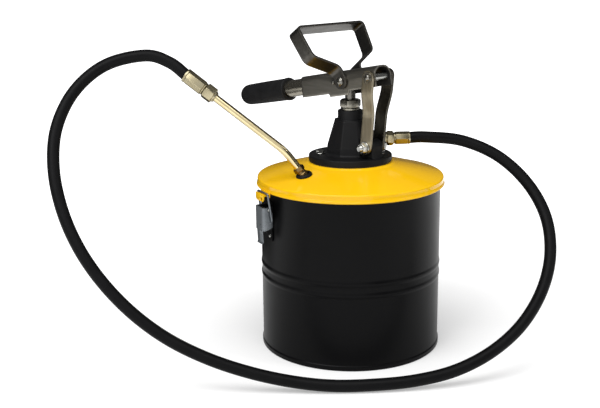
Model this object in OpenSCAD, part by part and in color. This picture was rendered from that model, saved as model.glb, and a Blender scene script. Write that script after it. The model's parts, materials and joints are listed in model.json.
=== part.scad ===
// Hand-operated grease pump on a round bucket, with its hose and extension tube.
// Millimetres. The origin is the middle of the bucket's underside, +Z is up, and the lever's grip points to -X.

/* [Bucket] */
// Outer radius of the bucket's wall
bucket_r = 117; // [105:1:125]
// Height of the bucket's rolled top edge
bucket_h = 222; // [190:1:250]
// Sheet thickness of the bucket and the lid
sheet_t = 1; // [0.8:0.1:1.4]
// Height of the bottom seam
seam_h = 6; // [4:0.5:8]
// How far the bottom seam stands out of the wall
seam_out = 1.2; // [0.6:0.1:1.6]
// Height of the lower swaged bead
bead_low_z = 98; // [60:1:105]
// Distance between the swaged beads
bead_pitch = 14.5; // [12:0.5:24]
// Width of a swaged bead
bead_w = 10; // [6:0.5:11]
// How far a swaged bead stands out of the wall
bead_out = 0.9; // [0.5:0.1:1.4]

/* [Lid] */
// Height of the lid's flat top above the bucket's edge
lid_rise = 22.7; // [16:0.1:30]
// Radius of the lid's flat top
lid_flat_r = 57; // [55.5:0.5:64]
// Drop of the small step round the flat top
lid_step_h = 2.4; // [1.5:0.1:4]
// Radius of the lid's outer corner
lid_corner_r = 5; // [3.5:0.5:6]
// How far the lid's skirt reaches below the bucket's edge
skirt_drop = 7.7; // [6:0.1:10]
// How far the rolled rim of the skirt stands out
rim_out = 1.3; // [0.8:0.1:1.8]

/* [Latches] */
// Angle of the first latch round the bucket
latch_angle = 256; // [240:1:260]
// Width of the latch lever
latch_w = 23; // [20:1:28]
// Sheet thickness of the latch
latch_t = 1.5; // [1:0.1:2]
// Height of the latch lever's wide part
latch_wide_h = 30; // [27:1:36]
// Height of the latch lever's finger tab
latch_tab_h = 21; // [14:1:26]
// Diameter of the bail's wire
bail_wire_d = 2.6; // [2:0.1:3]

/* [Pump head] */
// Radius of the head's flange
flange_r = 54; // [50:0.5:55]
// Thickness of the head's flange
flange_t = 8; // [6:0.5:10]
// Thickness of the gasket under the flange
flange_gasket_t = 1; // [0.5:0.1:2]
// Half width of the head's eight-sided foot
head_low_hw = 29.8; // [27:0.1:31]
// Half width of the head's eight-sided top
head_top_hw = 19.9; // [18:0.1:23]
// Height of the straight foot above the flange
head_foot_h = 10.7; // [7:0.1:14]
// Height of the head's taper
head_taper_h = 34.4; // [28:0.1:40]
// Radius of the head's round neck
neck_r = 16.1; // [14:0.1:18]
// Height of the neck
neck_h = 12; // [9:0.5:14]
// Circle diameter of the flange screws
screw_pcd = 78; // [74:1:84]
// Diameter of the piston rod
rod_d = 11.6; // [10:0.1:13]

/* [Pump barrel] */
// Outer diameter of the pump barrel
barrel_d = 40; // [36:0.5:44]
// Bore of the pump barrel
barrel_bore = 32; // [28:0.5:33]
// Height of the barrel's lower end above the floor
barrel_low_z = 26; // [24:1:34]

/* [Lever] */
// Height of the rod pin above the flange when the lever rests
rod_pin_h = 94.6; // [90:0.1:100]
// Slope of the lever when it rests, in degrees
lever_slope = 10.8; // [9:0.1:12]
// Distance between the rod pin and the pin of the links
link_pin_x = 50; // [46:0.5:51]
// Half width of the lever's channel
channel_hw = 15; // [14:0.1:16]
// Sheet thickness of the lever's channel
channel_t = 2; // [1.6:0.1:2.4]
// Height of the channel's top above its pins
channel_top = 13.5; // [13.4:0.1:14.5]
// Depth of the channel's walls below its pins
channel_low = 12.5; // [11:0.5:13]
// Length of the channel towards the grip
channel_front = 77.5; // [72:0.5:88]
// Length of the channel behind the rod pin
channel_rear = 58; // [56:0.5:62]
// Diameter of the lever's tube
tube_d = 22.8; // [20:0.1:22.8]
// Distance from the rod pin to the mouth of the grip
grip_start = 118; // [112:1:130]
// Length of the grip
grip_l = 98; // [90:1:125]
// Diameter of the grip
grip_d = 30; // [28:0.5:33]

/* [Links] */
// Distance of the links' lower pivot from the pump's axis
lug_x = 39.2; // [39.1:0.1:41]
// Height of the links' lower pivot above the flange
lug_h = 14; // [11.6:0.1:15]
// Thickness of the head's lug between the links
lug_t = 19; // [16:0.5:20]
// Width of a link
link_w = 17.5; // [16.5:0.5:17.5]
// Thickness of a link
link_t = 3.5; // [3:0.1:4.5]
// Diameter of the pins and bolts of the linkage
pin_d = 8; // [7:0.1:8]

/* [Carry handle] */
// Width of the handle's strip
strip_w = 20; // [18:0.5:21]
// Thickness of the handle's strip
strip_t = 3; // [2.5:0.1:3.5]
// Lean of the handle from upright, in degrees
handle_lean = 34; // [30:1:38]
// Distance from the rod pin to the handle's bar
handle_reach = 77; // [68:1:88]
// Half length of the handle's bar
handle_hw = 58; // [55:1:66]
// Half distance between the handle's lower bends
handle_low_hw = 53; // [46:1:54]

/* [Outlet and hose] */
// Height of the outlet above the flange
outlet_h = 18.3; // [16:0.1:20]
// Length of the far hose ferrule
ferrule_l = 30; // [24:1:34]
// Diameter of the hose
hose_d = 15; // [12:0.5:16]
// Diameter of the extension tube
ext_tube_d = 9.5; // [7:0.5:10]

/* [Hidden] */
$fn = 64;
// Gap between pieces that are fixed together
seat = 0.1;
// Radial clearance of pins and shafts that turn or slide
run = 0.08;
// Gap between faces of pieces that move past each other
free = 0.4;

// Bucket
bucket_in_r = bucket_r - sheet_t;
bead_high_z = bead_low_z + bead_pitch;
curl_out = 2.2;
curl_h = 4;
bead_steps = 8;

// Lid
lid_r = bucket_r + curl_out + 0.8 + sheet_t;
lid_top_z = bucket_h + lid_rise;
lid_shoulder_z = bucket_h + 0.6 + lid_corner_r;
lid_step_w = 3.5;
lid_cone_z = lid_top_z - lid_step_h;
shoulder_turn = 75;
rim_h = 5;
skirt_z = bucket_h - skirt_drop;
lid_gasket_w = 3.5;

// Pump head
flange_z = lid_top_z + flange_gasket_t;
flange_top = flange_z + flange_t;
foot_top = flange_top + head_foot_h;
taper_top = foot_top + head_taper_h;
neck_top = taper_top + neck_h;
rod_r = rod_d / 2;
barrel_r = barrel_d / 2;
bore_r = barrel_bore / 2;
barrel_top = flange_z + 16;
packing_r = 10.5;
packing_h = 12;
packing_z = neck_top - packing_h;
lock_ring_r = 12.4;
lock_ring_h = 3.2;
gland_af = 24;
gland_h = 10.4;
gland_z = neck_top + lock_ring_h;
screw_shank_r = 3;
screw_angle = 45;
screw_nut_af = 10;
screw_nut_h = 5;

// Linkage
pin_r = pin_d / 2;
rod_pin_z = flange_top + rod_pin_h;
lug_z = flange_top + lug_h;
lug_r = 9.8;
link_pin = [link_pin_x * cos(lever_slope), rod_pin_z + link_pin_x * sin(lever_slope)];
link_run = [link_pin[0] - lug_x, link_pin[1] - lug_z];
link_l = norm(link_run);
link_tilt = atan2(link_run[0], link_run[1]);
washer_t = 1.6;
washer_r = 8;
spacer_gap = 1.8;
link_low_y = lug_t / 2 + free;
top_washer_t = 0.8;
link_top_y = channel_hw + free + top_washer_t;
link_bend_a = 44;
link_bend_b = 70;
nut_af = 13;
nut_t = 6.5;
head_t = 5.3;
bolt_end = 3;
rod_ring_w = 1.9;
rod_ring_t = 2;
rod_pin_end = 0.9;

// Piston rod, its slotted eye inside the lever, and the piston
eye_half_t = 8;
eye_slide = 2.4;
eye_slack = 0.9;
eye_wall = 2.4;
eye_r = pin_r + eye_slack + eye_wall;
piston_h = 18;
rod_shank_r = rod_r + 1;
rod_shank_gap = 1.6;
piston_rest = 36;
piston_low_z = barrel_low_z + piston_rest;
piston_r = bore_r - 0.4;
seal_h = 6;
seal_depth = 3;

// Foot valve
valve_z = barrel_low_z - 16;
inlet_r = 4.5;
ball_r = 5.5;
cage_r = 7;
ball_seat_z = valve_z + 8;
ball_z = ball_seat_z + sqrt(ball_r * ball_r - inlet_r * inlet_r) + seat;

// Follower plate
follower_z = seam_h + 0.3;
follower_t = 3;
follower_seal_h = 9;
follower_seal_w = 7;

// Channel of the lever
channel_corner = 13;
channel_step_x = -26;
channel_lobe_end = 10;
channel_front_drop = 1.4;
channel_lobe_drop = 5.3;
channel_end_t = 3;
tube_r = tube_d / 2;
tube_in = 66;
grip_r = grip_d / 2;
grip_lip_r = grip_r + 0.6;
stop_r = 2.6;
stop_out = 4.2;
stop_x = -(strip_w / 2 + free + stop_r) / cos(handle_lean - lever_slope);

// Carry handle
tab_in = channel_hw + free;
handle_bend_a = 17;
handle_bend_b = 35;

// Outlet: the direction is a 3-4-5 triangle
outlet_dir = [0.6, 0.8, 0];
outlet_az = atan2(outlet_dir[1], outlet_dir[0]);
outlet_z = flange_top + outlet_h;
boss_r = 11;
boss_end = 36;
port_r = 6.6;
port_seat = 24;
passage_r = 2.5;
adapter_hex_l = 10;
adapter_af = 19;
swivel_l = 9;
swivel_af = 17;
adapter_end = boss_end + adapter_hex_l;
swivel_end = adapter_end + 1 + swivel_l;
ferrule_r = hose_d / 2 + 0.8;
far_ferrule_r = hose_d / 2 + 1.8;
outlet_ball_r = 3.6;
chamber_r = 4.3;
outlet_ball_x = port_seat + sqrt(outlet_ball_r * outlet_ball_r - passage_r * passage_r) + seat;
spring_a = outlet_ball_x + outlet_ball_r + 0.6;
spring_b = adapter_end - 2;
spring_r = 3;
spring_wire_r = 0.5;
spring_turns = 5;

// Route of the hose, from the outlet's ferrule over the floor to the far ferrule
hose_route = [
    [46.8, 62.4, 272], [60, 80, 272], [90, 117, 266], [129, 143, 247], [167, 156, 215], [199, 153, 177],
    [221, 134, 136], [232, 103, 98], [232, 64, 64], [221, 22, 38], [201, -21, 20], [174, -63, 11],
    [143, -104, 8], [110, -142, 8], [76, -178, 14], [42, -214, 26], [8, -248, 43], [-26, -279, 66],
    [-58, -305, 96], [-89, -325, 132], [-117, -338, 172], [-143, -342, 215], [-165, -337, 261],
    [-180, -321, 306], [-184, -291, 347], [-173, -252, 376], [-148, -210, 386], [-128, -188, 377],
    [-112, -176, 362]
];
hose_steps = 2;
hose_sides = 12;

// Extension tube: it leaves the hose along a 16-12-15 direction and leans into the socket on the lid
ext_dir = [0.64, 0.48, -0.6];
ext_start = hose_route[len(hose_route) - 1];
far_nut_l = 17;
far_nut_af = 18;
ext_run = 156;
ext_bend = ext_start + ext_run * ext_dir;
ext_bend_reach = 11;
socket_in = 35.3;
socket_angle = -89.72;
socket_at = (bucket_r - socket_in) * [cos(socket_angle), sin(socket_angle)];
socket_z = lid_cone_z - (norm(socket_at) - lid_flat_r - lid_step_w) * lid_cone_slope();
socket_pt = [socket_at[0], socket_at[1], socket_z];
socket_r = 10.5;
coupler_r = 6.5;
coupler_up = 14;
coupler_down = 12;

// Latches, in the plane through the bucket's axis: distance from the axis and height
latch_base_in = bucket_r + seat;
latch_pin_r = 1.6;
latch_out = 8;
latch_drop = 26;
latch_pivot = [bucket_r + latch_out, bucket_h - latch_drop];
bail_in = 3;
bail_drop = 15;
latch_bail_pivot = [latch_pivot[0] - bail_in, latch_pivot[1] - bail_drop];
bail_r = bail_wire_d / 2;
bail_bend = 2 * bail_r;
keeper_in = lid_r + rim_out + 0.1;
keeper_t = 1.6;
bail_top = [keeper_in + keeper_t + 3.5, skirt_z + 3];
latch_face = latch_pivot[0] + 6.5;
latch_top_z = latch_pivot[1] + 3.5;
latch_hw = latch_w / 2;
bail_hw = latch_hw + 1.2 + bail_r;
keeper_hw = latch_hw - 0.6;
ear_hw = latch_hw - latch_t - free - latch_t;
latch_base_hw = 6.5;
latch_base_down = 42;
latch_base_up = 8;
latch_base_low = latch_pivot[1] - latch_base_down;
latch_base_top = latch_pivot[1] + latch_base_up;
rivet_r = 2.4;
rivet_drop = 14;
rivet_up = 6;

// Height lost on the lid's cone for each millimetre outwards
function lid_cone_slope() =
    (lid_cone_z - lid_shoulder_z) / (lid_r - lid_corner_r - lid_flat_r - lid_step_w);

// Points on an arc, as [x, y] pairs
function arc(c, r, a0, a1, n) = [for (i = [0:n]) c + r * [cos(a0 + (a1 - a0) * i / n), sin(a0 + (a1 - a0) * i / n)]];

// The same points in the opposite order
function reversed(p) = [for (i = [len(p) - 1:-1:0]) p[i]];

// How far the bucket's wall stands out at a swaged bead, from -1 to 1 across the bead
function swage(s) = bead_out * (1 + cos(180 * s)) / 2;

// One side of a swaged bead's outline
function bead_line(z, r) = [for (i = [0:bead_steps]) let (s = 2 * i / bead_steps - 1) [r + swage(s), z + s * bead_w / 2]];

function unit(v) = v / norm(v);

// Catmull-Rom point between p[i] and p[i + 1]
function spline_point(p, i, t) =
    let (a = p[max(i - 1, 0)], b = p[i], c = p[i + 1], d = p[min(i + 2, len(p) - 1)])
    0.5 * ((2 * b) + (c - a) * t + (2 * a - 5 * b + 4 * c - d) * t * t + (3 * b - a - 3 * c + d) * t * t * t);

// A finer path through the same points
function smooth_path(p, k) = concat(
    [for (i = [0:len(p) - 2]) for (j = [0:k - 1]) spline_point(p, i, j / k)],
    [p[len(p) - 1]]
);

// A path whose inner corners are rounded, each by a curve that starts this far from the corner
function rounded_path(p, reach, n) = concat(
    [p[0]],
    [for (i = [1:len(p) - 2])
        let (a = p[i] - reach * unit(p[i] - p[i - 1]), b = p[i] + reach * unit(p[i + 1] - p[i]))
        for (j = [0:n]) let (t = j / n) (1 - t) * (1 - t) * a + 2 * t * (1 - t) * p[i] + t * t * b],
    [p[len(p) - 1]]
);

// Direction of a path at its point i, with given directions at its two ends
function path_dir(p, i, d0, d1) =
    i == 0 ? d0 : i == len(p) - 1 ? d1 : unit(p[i + 1] - p[i - 1]);

// Sideways directions along a path that don't twist
function path_sides(p, d0, d1, i, last) =
    i == len(p) ? [] :
    let (t = path_dir(p, i, d0, d1), n = unit(last - t * (last * t)))
    concat([n], path_sides(p, d0, d1, i + 1, n));

// A round bar swept along a path, with flat ends square to the given directions
module swept(path, r, sides, d0, d1) {
    n = len(path);
    across = path_sides(path, d0, d1, 0, [0.3, 0.2, 1]);
    ring = [for (i = [0:n - 1])
        let (t = path_dir(path, i, d0, d1), u = across[i], w = cross(t, u))
        for (k = [0:sides - 1]) path[i] + r * (cos(360 * k / sides) * u + sin(360 * k / sides) * w)];
    walls = [for (i = [0:n - 2]) for (k = [0:sides - 1])
        let (a = i * sides + k, b = i * sides + (k + 1) % sides)
        [a, a + sides, b + sides, b]];
    first = [for (k = [0:sides - 1]) k];
    last = [for (k = [sides - 1:-1:0]) (n - 1) * sides + k];
    polyhedron(points = ring, faces = concat(walls, [first, last]), convexity = 10);
}

// A cylinder between two heights
module disc(r, z0, z1) {
    translate([0, 0, z0])
        cylinder(r = r, h = z1 - z0);
}

// A ring between two heights
module ring(r_out, r_in, z0, z1) {
    difference() {
        disc(r_out, z0, z1);
        disc(r_in, z0 - 1, z1 + 1);
    }
}

// A hexagon bar between two heights, by its width across flats
module hex_bar(af, z0, z1) {
    translate([0, 0, z0])
        cylinder(r = af / sqrt(3), h = z1 - z0, $fn = 6);
}

// A cylinder along Y between two places
module bar_y(r, y0, y1) {
    translate([0, y0, 0])
        rotate([-90, 0, 0])
            cylinder(r = r, h = y1 - y0);
}

// A hexagon along Y between two places
module hex_y(af, y0, y1) {
    translate([0, y0, 0])
        rotate([-90, 0, 0])
            rotate([0, 0, 30])
                hex_bar(af, 0, y1 - y0);
}

// Puts children at the rod pin, with X along the lever
module at_lever() {
    translate([0, 0, rod_pin_z])
        rotate([0, -lever_slope, 0])
            children();
}

// Puts children at the links' lower pivot, with Z along the links
module at_links() {
    translate([lug_x, 0, lug_z])
        rotate([0, link_tilt, 0])
            children();
}

// Puts children on the outlet's axis, with Z pointing out of the head
module at_outlet() {
    translate([0, 0, outlet_z])
        rotate([0, 90, outlet_az])
            children();
}

// Puts children at a point, with Z along a direction
module along(point, dir) {
    translate(point)
        rotate([0, acos(dir[2] / norm(dir)), atan2(dir[1], dir[0])])
            children();
}

// Puts children at a latch, with X pointing out of the bucket and Y along its wall
module at_latch(k) {
    rotate([0, 0, latch_angle + 180 * k])
        children();
}

// An outline in the latch's plane, as thick as the given width
module latch_slab(points, y0, y1) {
    translate([0, y1, 0])
        rotate([90, 0, 0])
            linear_extrude(y1 - y0)
                polygon(points);
}

module bucket_body() {
    outer = concat(
        [[bucket_r + seam_out, 0], [bucket_r + seam_out, seam_h], [bucket_r, seam_h + seam_out]],
        bead_line(bead_low_z, bucket_r),
        bead_line(bead_high_z, bucket_r),
        [[bucket_r, bucket_h - curl_h], [bucket_r + curl_out, bucket_h - curl_h + 1]],
        [[bucket_r + curl_out, bucket_h - 1], [bucket_r + curl_out - 1, bucket_h]]
    );
    inner = concat(
        [[bucket_in_r, 0]],
        bead_line(bead_low_z, bucket_in_r),
        bead_line(bead_high_z, bucket_in_r),
        [[bucket_in_r, bucket_h]]
    );
    color("#1c1c1e")
        rotate_extrude($fn = 160)
            polygon(concat(outer, reversed(inner)));
}

module bucket_bottom() {
    r = bucket_in_r - seat;
    color("#1c1c1e")
        rotate_extrude($fn = 160)
            polygon([[0, seam_h - sheet_t], [r - sheet_t, seam_h - sheet_t], [r - sheet_t, 0], [r, 0],
                [r, seam_h], [0, seam_h]]);
}

module lid() {
    corner = [lid_r - lid_corner_r, lid_shoulder_z - lid_corner_r];
    step_r = lid_flat_r + lid_step_w;
    outer = concat(
        [[lid_flat_r, lid_top_z], [lid_flat_r + 0.8, lid_top_z - 0.7], [step_r - 1, lid_cone_z + 0.5]],
        [[step_r, lid_cone_z]],
        arc(corner, lid_corner_r, shoulder_turn, 0, 6),
        [[lid_r, skirt_z + rim_h], [lid_r + rim_out, skirt_z + rim_h - 1.5], [lid_r + rim_out, skirt_z + 1]],
        [[lid_r + rim_out - 0.6, skirt_z]]
    );
    inner = concat(
        [[lid_flat_r - 0.6, lid_top_z - sheet_t], [step_r - 1.4, lid_cone_z - sheet_t]],
        arc(corner, lid_corner_r - sheet_t, shoulder_turn, 0, 6),
        [[lid_r - sheet_t, skirt_z]]
    );
    color("#f5c518")
        difference() {
            rotate_extrude($fn = 160)
                polygon(concat([[barrel_r + seat, lid_top_z]], outer, reversed(inner),
                    [[barrel_r + seat, lid_top_z - sheet_t]]));
            flange_screw_places()
                disc(screw_shank_r + seat, lid_top_z - 2 * sheet_t, lid_top_z + 1);
            translate(socket_pt)
                sphere(r = socket_r + seat);
        }
}

module lid_gasket() {
    r = lid_r - lid_corner_r + 1;
    color("#202020")
        ring(r, r - lid_gasket_w, bucket_h, lid_shoulder_z - sheet_t - 0.3);
}

module keeper(k) {
    ledge = bail_top[1] - bail_r - free;
    lip = bail_top[0] + bail_r + 1.8;
    color("#f5c518")
        at_latch(k)
            latch_slab([[keeper_in, skirt_z - 9], [keeper_in + keeper_t, skirt_z - 9],
                [keeper_in + keeper_t, ledge - keeper_t], [lip + keeper_t, ledge - keeper_t],
                [lip + keeper_t, ledge + bail_r], [lip, ledge + bail_r], [lip, ledge],
                [keeper_in + keeper_t, ledge], [keeper_in + keeper_t, ledge + 2 * bail_r],
                [keeper_in, ledge + 2 * bail_r]], -keeper_hw, keeper_hw);
}

module keeper_a() {
    keeper(0);
}

module keeper_b() {
    keeper(1);
}

module latch_base(k) {
    ear_out = latch_pivot[0] + 3.2;
    color("#8a9094")
        at_latch(k)
            difference() {
                union() {
                    latch_slab([[latch_base_in, latch_base_low], [latch_base_in + latch_t, latch_base_low],
                        [latch_base_in + latch_t, latch_base_top], [latch_base_in, latch_base_top]],
                        -latch_base_hw, latch_base_hw);
                    for (s = [0, 1])
                        mirror([0, s, 0])
                            latch_slab([[latch_base_in, latch_pivot[1] - 4], [ear_out, latch_pivot[1] - 3.2],
                                [ear_out, latch_pivot[1] + 3.2], [latch_base_in, latch_pivot[1] + 4]],
                                latch_base_hw - latch_t, ear_hw);
                }
                translate([latch_pivot[0], 0, latch_pivot[1]])
                    bar_y(latch_pin_r + seat, -latch_w, latch_w);
                latch_rivet_places()
                    rotate([0, 90, 0])
                        cylinder(r = rivet_r / 2 + seat, h = 4 * latch_t, center = true);
            }
}

module latch_base_a() {
    latch_base(0);
}

module latch_base_b() {
    latch_base(1);
}

// Puts children at the two rivets of a latch base, on the bucket's wall
module latch_rivet_places() {
    for (z = [latch_base_low + rivet_up, latch_pivot[1] - rivet_drop])
        translate([latch_base_in + latch_t, 0, z])
            children();
}

module latch_rivets() {
    head_out = 1.1;
    color("#9aa0a4")
        for (k = [0, 1])
            at_latch(k)
                latch_rivet_places() {
                    rotate([0, 90, 0])
                        cylinder(r = rivet_r, h = head_out);
                    translate([-latch_base_in - latch_t + bucket_r + seat, 0, 0])
                        rotate([0, 90, 0])
                            cylinder(r = rivet_r / 2, h = latch_base_in + latch_t - bucket_r);
                }
}

module latch_pin(k) {
    color("#b0b4b8")
        at_latch(k)
            translate([latch_pivot[0], 0, latch_pivot[1]])
                bar_y(latch_pin_r, -latch_hw + 0.1, latch_hw - 0.1);
}

module latch_pin_a() {
    latch_pin(0);
}

module latch_pin_b() {
    latch_pin(1);
}

module latch_lever(k) {
    low = latch_top_z - latch_wide_h;
    tab_hw = latch_hw - 4;
    flange_in = latch_base_in + latch_t + 1;
    color("#7d8488")
        at_latch(k)
            difference() {
                union() {
                    latch_slab([[latch_face, low], [latch_face + latch_t, low],
                        [latch_face + latch_t, latch_top_z], [latch_face, latch_top_z]], -latch_hw, latch_hw);
                    for (s = [0, 1])
                        mirror([0, s, 0])
                            latch_slab([[flange_in, low + 3], [latch_face, low], [latch_face, latch_top_z],
                                [latch_pivot[0] - 1.5, latch_top_z], [flange_in, latch_pivot[1] - 5]],
                                latch_hw - latch_t, latch_hw);
                    latch_slab([[latch_face - 1.2, low - latch_tab_h], [latch_face + 0.3, low - latch_tab_h],
                        [latch_face + latch_t, low], [latch_face, low]], -tab_hw, tab_hw);
                }
                translate([latch_pivot[0], 0, latch_pivot[1]])
                    bar_y(latch_pin_r + run, -latch_w, latch_w);
                translate([latch_bail_pivot[0], 0, latch_bail_pivot[1]])
                    bar_y(bail_r + run, -latch_w, latch_w);
            }
}

module latch_lever_a() {
    latch_lever(0);
}

module latch_lever_b() {
    latch_lever(1);
}

module latch_bail(k) {
    low = [latch_bail_pivot[0], latch_bail_pivot[1]];
    stub = latch_hw - latch_t - 0.3;
    half = [[low[0], stub, low[1]], [low[0], bail_hw, low[1]], [bail_top[0], bail_hw, bail_top[1]]];
    other = [for (p = reversed(half)) [p[0], -p[1], p[2]]];
    color("#a9aeb2")
        at_latch(k)
            swept(rounded_path(concat(half, other), bail_bend, 4), bail_r, 12, [0, 1, 0], [0, 1, 0]);
}

module latch_bail_a() {
    latch_bail(0);
}

module latch_bail_b() {
    latch_bail(1);
}

// Eight-sided block with flats square to X and Y, by its half widths at the bottom and the top
module octagon_block(low_hw, top_hw, z0, z1) {
    translate([0, 0, z0])
        rotate([0, 0, 22.5])
            cylinder(r1 = low_hw / cos(22.5), r2 = top_hw / cos(22.5), h = z1 - z0, $fn = 8);
}

// The plate between the links, with a round end
module lug() {
    rotate([90, 0, 0])
        linear_extrude(lug_t, center = true)
            polygon(concat([[0, flange_top - 1], [lug_x + lug_r - 1, flange_top - 1]],
                arc([lug_x, lug_z], lug_r, 0, 90, 12), [[0, lug_z + lug_r]]));
}

// Puts children at the flange screws
module flange_screw_places() {
    for (a = [screw_angle, screw_angle + 180])
        rotate([0, 0, a])
            translate([screw_pcd / 2, 0, 0])
                children();
}

module pump_head() {
    color("#1a1a1c")
        difference() {
            union() {
                disc(flange_r, flange_z, flange_top);
                octagon_block(head_low_hw, head_low_hw, flange_top - 1, foot_top);
                octagon_block(head_low_hw - 0.3, head_top_hw, foot_top - 1, taper_top);
                disc(neck_r, taper_top - 1, neck_top);
                lug();
                at_outlet()
                    disc(boss_r, 0, boss_end);
            }
            disc(rod_r + run, flange_z - 1, neck_top + 1);
            disc(packing_r, packing_z, neck_top + 1);
            disc(barrel_r + seat, flange_z - 1, barrel_top);
            flange_screw_places()
                disc(screw_shank_r + seat, flange_z - 1, flange_top + 1);
            translate([lug_x, 0, lug_z])
                bar_y(pin_r + run, -lug_t, lug_t);
            at_outlet() {
                disc(port_r, port_seat, boss_end + 1);
                disc(passage_r, 0, boss_end);
            }
        }
}

module flange_gasket() {
    color("#26221e")
        difference() {
            ring(flange_r - 1, barrel_r + seat, lid_top_z, flange_z);
            flange_screw_places()
                disc(screw_shank_r + seat, lid_top_z - 1, flange_z + 1);
        }
}

module flange_screws() {
    head_r = 5.2;
    head_h = 3.4;
    color("#c9cdd2")
        flange_screw_places() {
            disc(screw_shank_r, lid_top_z - sheet_t - nut_t, flange_top + 1);
            disc(head_r, flange_top, flange_top + head_h);
        }
}

module flange_nuts() {
    color("#c9cdd2")
        flange_screw_places()
            difference() {
                hex_bar(screw_nut_af, lid_top_z - sheet_t - screw_nut_h, lid_top_z - sheet_t);
                disc(screw_shank_r + seat, lid_top_z - sheet_t - 2 * screw_nut_h, lid_top_z);
            }
}

module gland_lock_ring() {
    color("#c4c8cc")
        ring(lock_ring_r, rod_r + 4, neck_top, gland_z);
}

module gland_nut() {
    color("#b9bdc1")
        difference() {
            union() {
                hex_bar(gland_af, gland_z, gland_z + gland_h);
                disc(rod_r + 3.8, neck_top - 4, gland_z + 1);
            }
            disc(rod_r + run, neck_top - 6, gland_z + gland_h + 1);
        }
}

module gland_packing() {
    color("#c8b890")
        ring(packing_r - seat, rod_r + run, packing_z, neck_top - 4);
}

module pump_barrel() {
    color("#8d9296")
        ring(barrel_r, bore_r, barrel_low_z, barrel_top);
}

module foot_valve() {
    spigot_h = 8;
    bridge_w = 4;
    color("#9a9fa3") {
        difference() {
            union() {
                disc(barrel_r, valve_z, barrel_low_z);
                disc(bore_r - seat, valve_z, barrel_low_z + spigot_h);
            }
            disc(inlet_r, valve_z - 1, ball_seat_z + 1);
            disc(cage_r, ball_seat_z, barrel_low_z + spigot_h + 1);
        }
        translate([-cage_r - 1, -bridge_w / 2, barrel_low_z + spigot_h - 2])
            cube([2 * cage_r + 2, bridge_w, 2]);
    }
}

module inlet_ball() {
    color("#d5d8da")
        translate([0, 0, ball_z])
            sphere(r = ball_r);
}

module piston_rod() {
    color("#8f9295")
        difference() {
            union() {
                disc(rod_r, piston_low_z + piston_h, rod_pin_z - pin_r - eye_slack);
                disc(rod_shank_r, gland_z + gland_h + rod_shank_gap, rod_pin_z - pin_r - eye_slack);
                for (s = [-1, 1])
                    translate([s * eye_slide, 0, rod_pin_z])
                        bar_y(eye_r, -eye_half_t, eye_half_t);
                translate([-eye_slide, -eye_half_t, rod_pin_z - eye_r])
                    cube([2 * eye_slide, 2 * eye_half_t, 2 * eye_r]);
            }
            for (s = [-1, 1])
                translate([s * eye_slide, 0, rod_pin_z])
                    bar_y(pin_r + eye_slack, -2 * eye_half_t, 2 * eye_half_t);
            translate([-eye_slide, -2 * eye_half_t, rod_pin_z - pin_r - eye_slack])
                cube([2 * eye_slide, 4 * eye_half_t, 2 * (pin_r + eye_slack)]);
        }
}

module piston() {
    mid = piston_low_z + piston_h / 2;
    color("#a0a4a8")
        difference() {
            disc(piston_r, piston_low_z, piston_low_z + piston_h);
            ring(bore_r, piston_r - seal_depth, mid - seal_h / 2, mid + seal_h / 2);
        }
}

module piston_seal() {
    mid = piston_low_z + piston_h / 2;
    color("#2a2a2a")
        ring(bore_r - run, piston_r - seal_depth + seat, mid - seal_h / 2 + seat, mid + seal_h / 2 - seat);
}

module follower_plate() {
    color("#9b9f8f")
        ring(bucket_in_r - free - follower_seal_w, barrel_r + free, follower_z, follower_z + follower_t);
}

module follower_seal() {
    r = bucket_in_r - free;
    color("#262626")
        ring(r, r - follower_seal_w + seat, follower_z, follower_z + follower_seal_h);
}

// A cranked flat bar on the +Y side of the pump, in the links' own frame
module link_bar() {
    r = link_w / 2;
    difference() {
        intersection() {
            rotate([90, 0, 90])
                translate([0, 0, -link_w])
                    linear_extrude(2 * link_w)
                        polygon([[link_low_y, -r - 1], [link_low_y + link_t, -r - 1],
                            [link_low_y + link_t, link_bend_a], [link_top_y + link_t, link_bend_b],
                            [link_top_y + link_t, link_l + r + 1], [link_top_y, link_l + r + 1],
                            [link_top_y, link_bend_b], [link_low_y, link_bend_a]]);
            union() {
                bar_y(r, 0, 2 * channel_hw);
                translate([0, 0, link_l])
                    bar_y(r, 0, 2 * channel_hw);
                translate([-r, 0, 0])
                    cube([link_w, 2 * channel_hw, link_l]);
            }
        }
        bar_y(pin_r + seat, 0, 2 * channel_hw);
        translate([0, 0, link_l])
            bar_y(pin_r + seat, 0, 2 * channel_hw);
    }
}

module link_near() {
    color("#807a6e")
        at_links()
            mirror([0, 1, 0])
                link_bar();
}

module link_far() {
    color("#807a6e")
        at_links()
            link_bar();
}

// Distance from the middle plane to the outside of the links at their lower and upper ends
function link_low_out() = link_low_y + link_t;
function link_top_out() = link_top_y + link_t;

module link_bolt() {
    color("#c3c7cb")
        at_links() {
            bar_y(pin_r, -link_low_out() - washer_t - nut_t - bolt_end, link_low_out() + washer_t + 1);
            hex_y(nut_af, link_low_out() + washer_t, link_low_out() + washer_t + head_t);
        }
}

module link_nut() {
    y = link_low_out() + washer_t;
    color("#c3c7cb")
        at_links()
            difference() {
                hex_y(nut_af, -y - nut_t, -y);
                bar_y(pin_r + seat, -y - 2 * nut_t, 0);
            }
}

// A washer round a pin, against the face at y and on its outer side
module washer(y, side) {
    mirror([0, (1 - side) / 2, 0])
        difference() {
            bar_y(washer_r, y, y + washer_t);
            bar_y(pin_r + seat, y - 1, y + washer_t + 1);
        }
}

module link_washers() {
    color("#cfd3d6")
        at_links() {
            for (s = [-1, 1])
                washer(link_low_out(), s);
            translate([0, 0, link_l])
                for (s = [0, 1])
                    mirror([0, s, 0])
                        difference() {
                            bar_y(washer_r, channel_hw + free, link_top_y);
                            bar_y(pin_r + seat, channel_hw, link_top_y + 1);
                        }
        }
}

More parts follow.
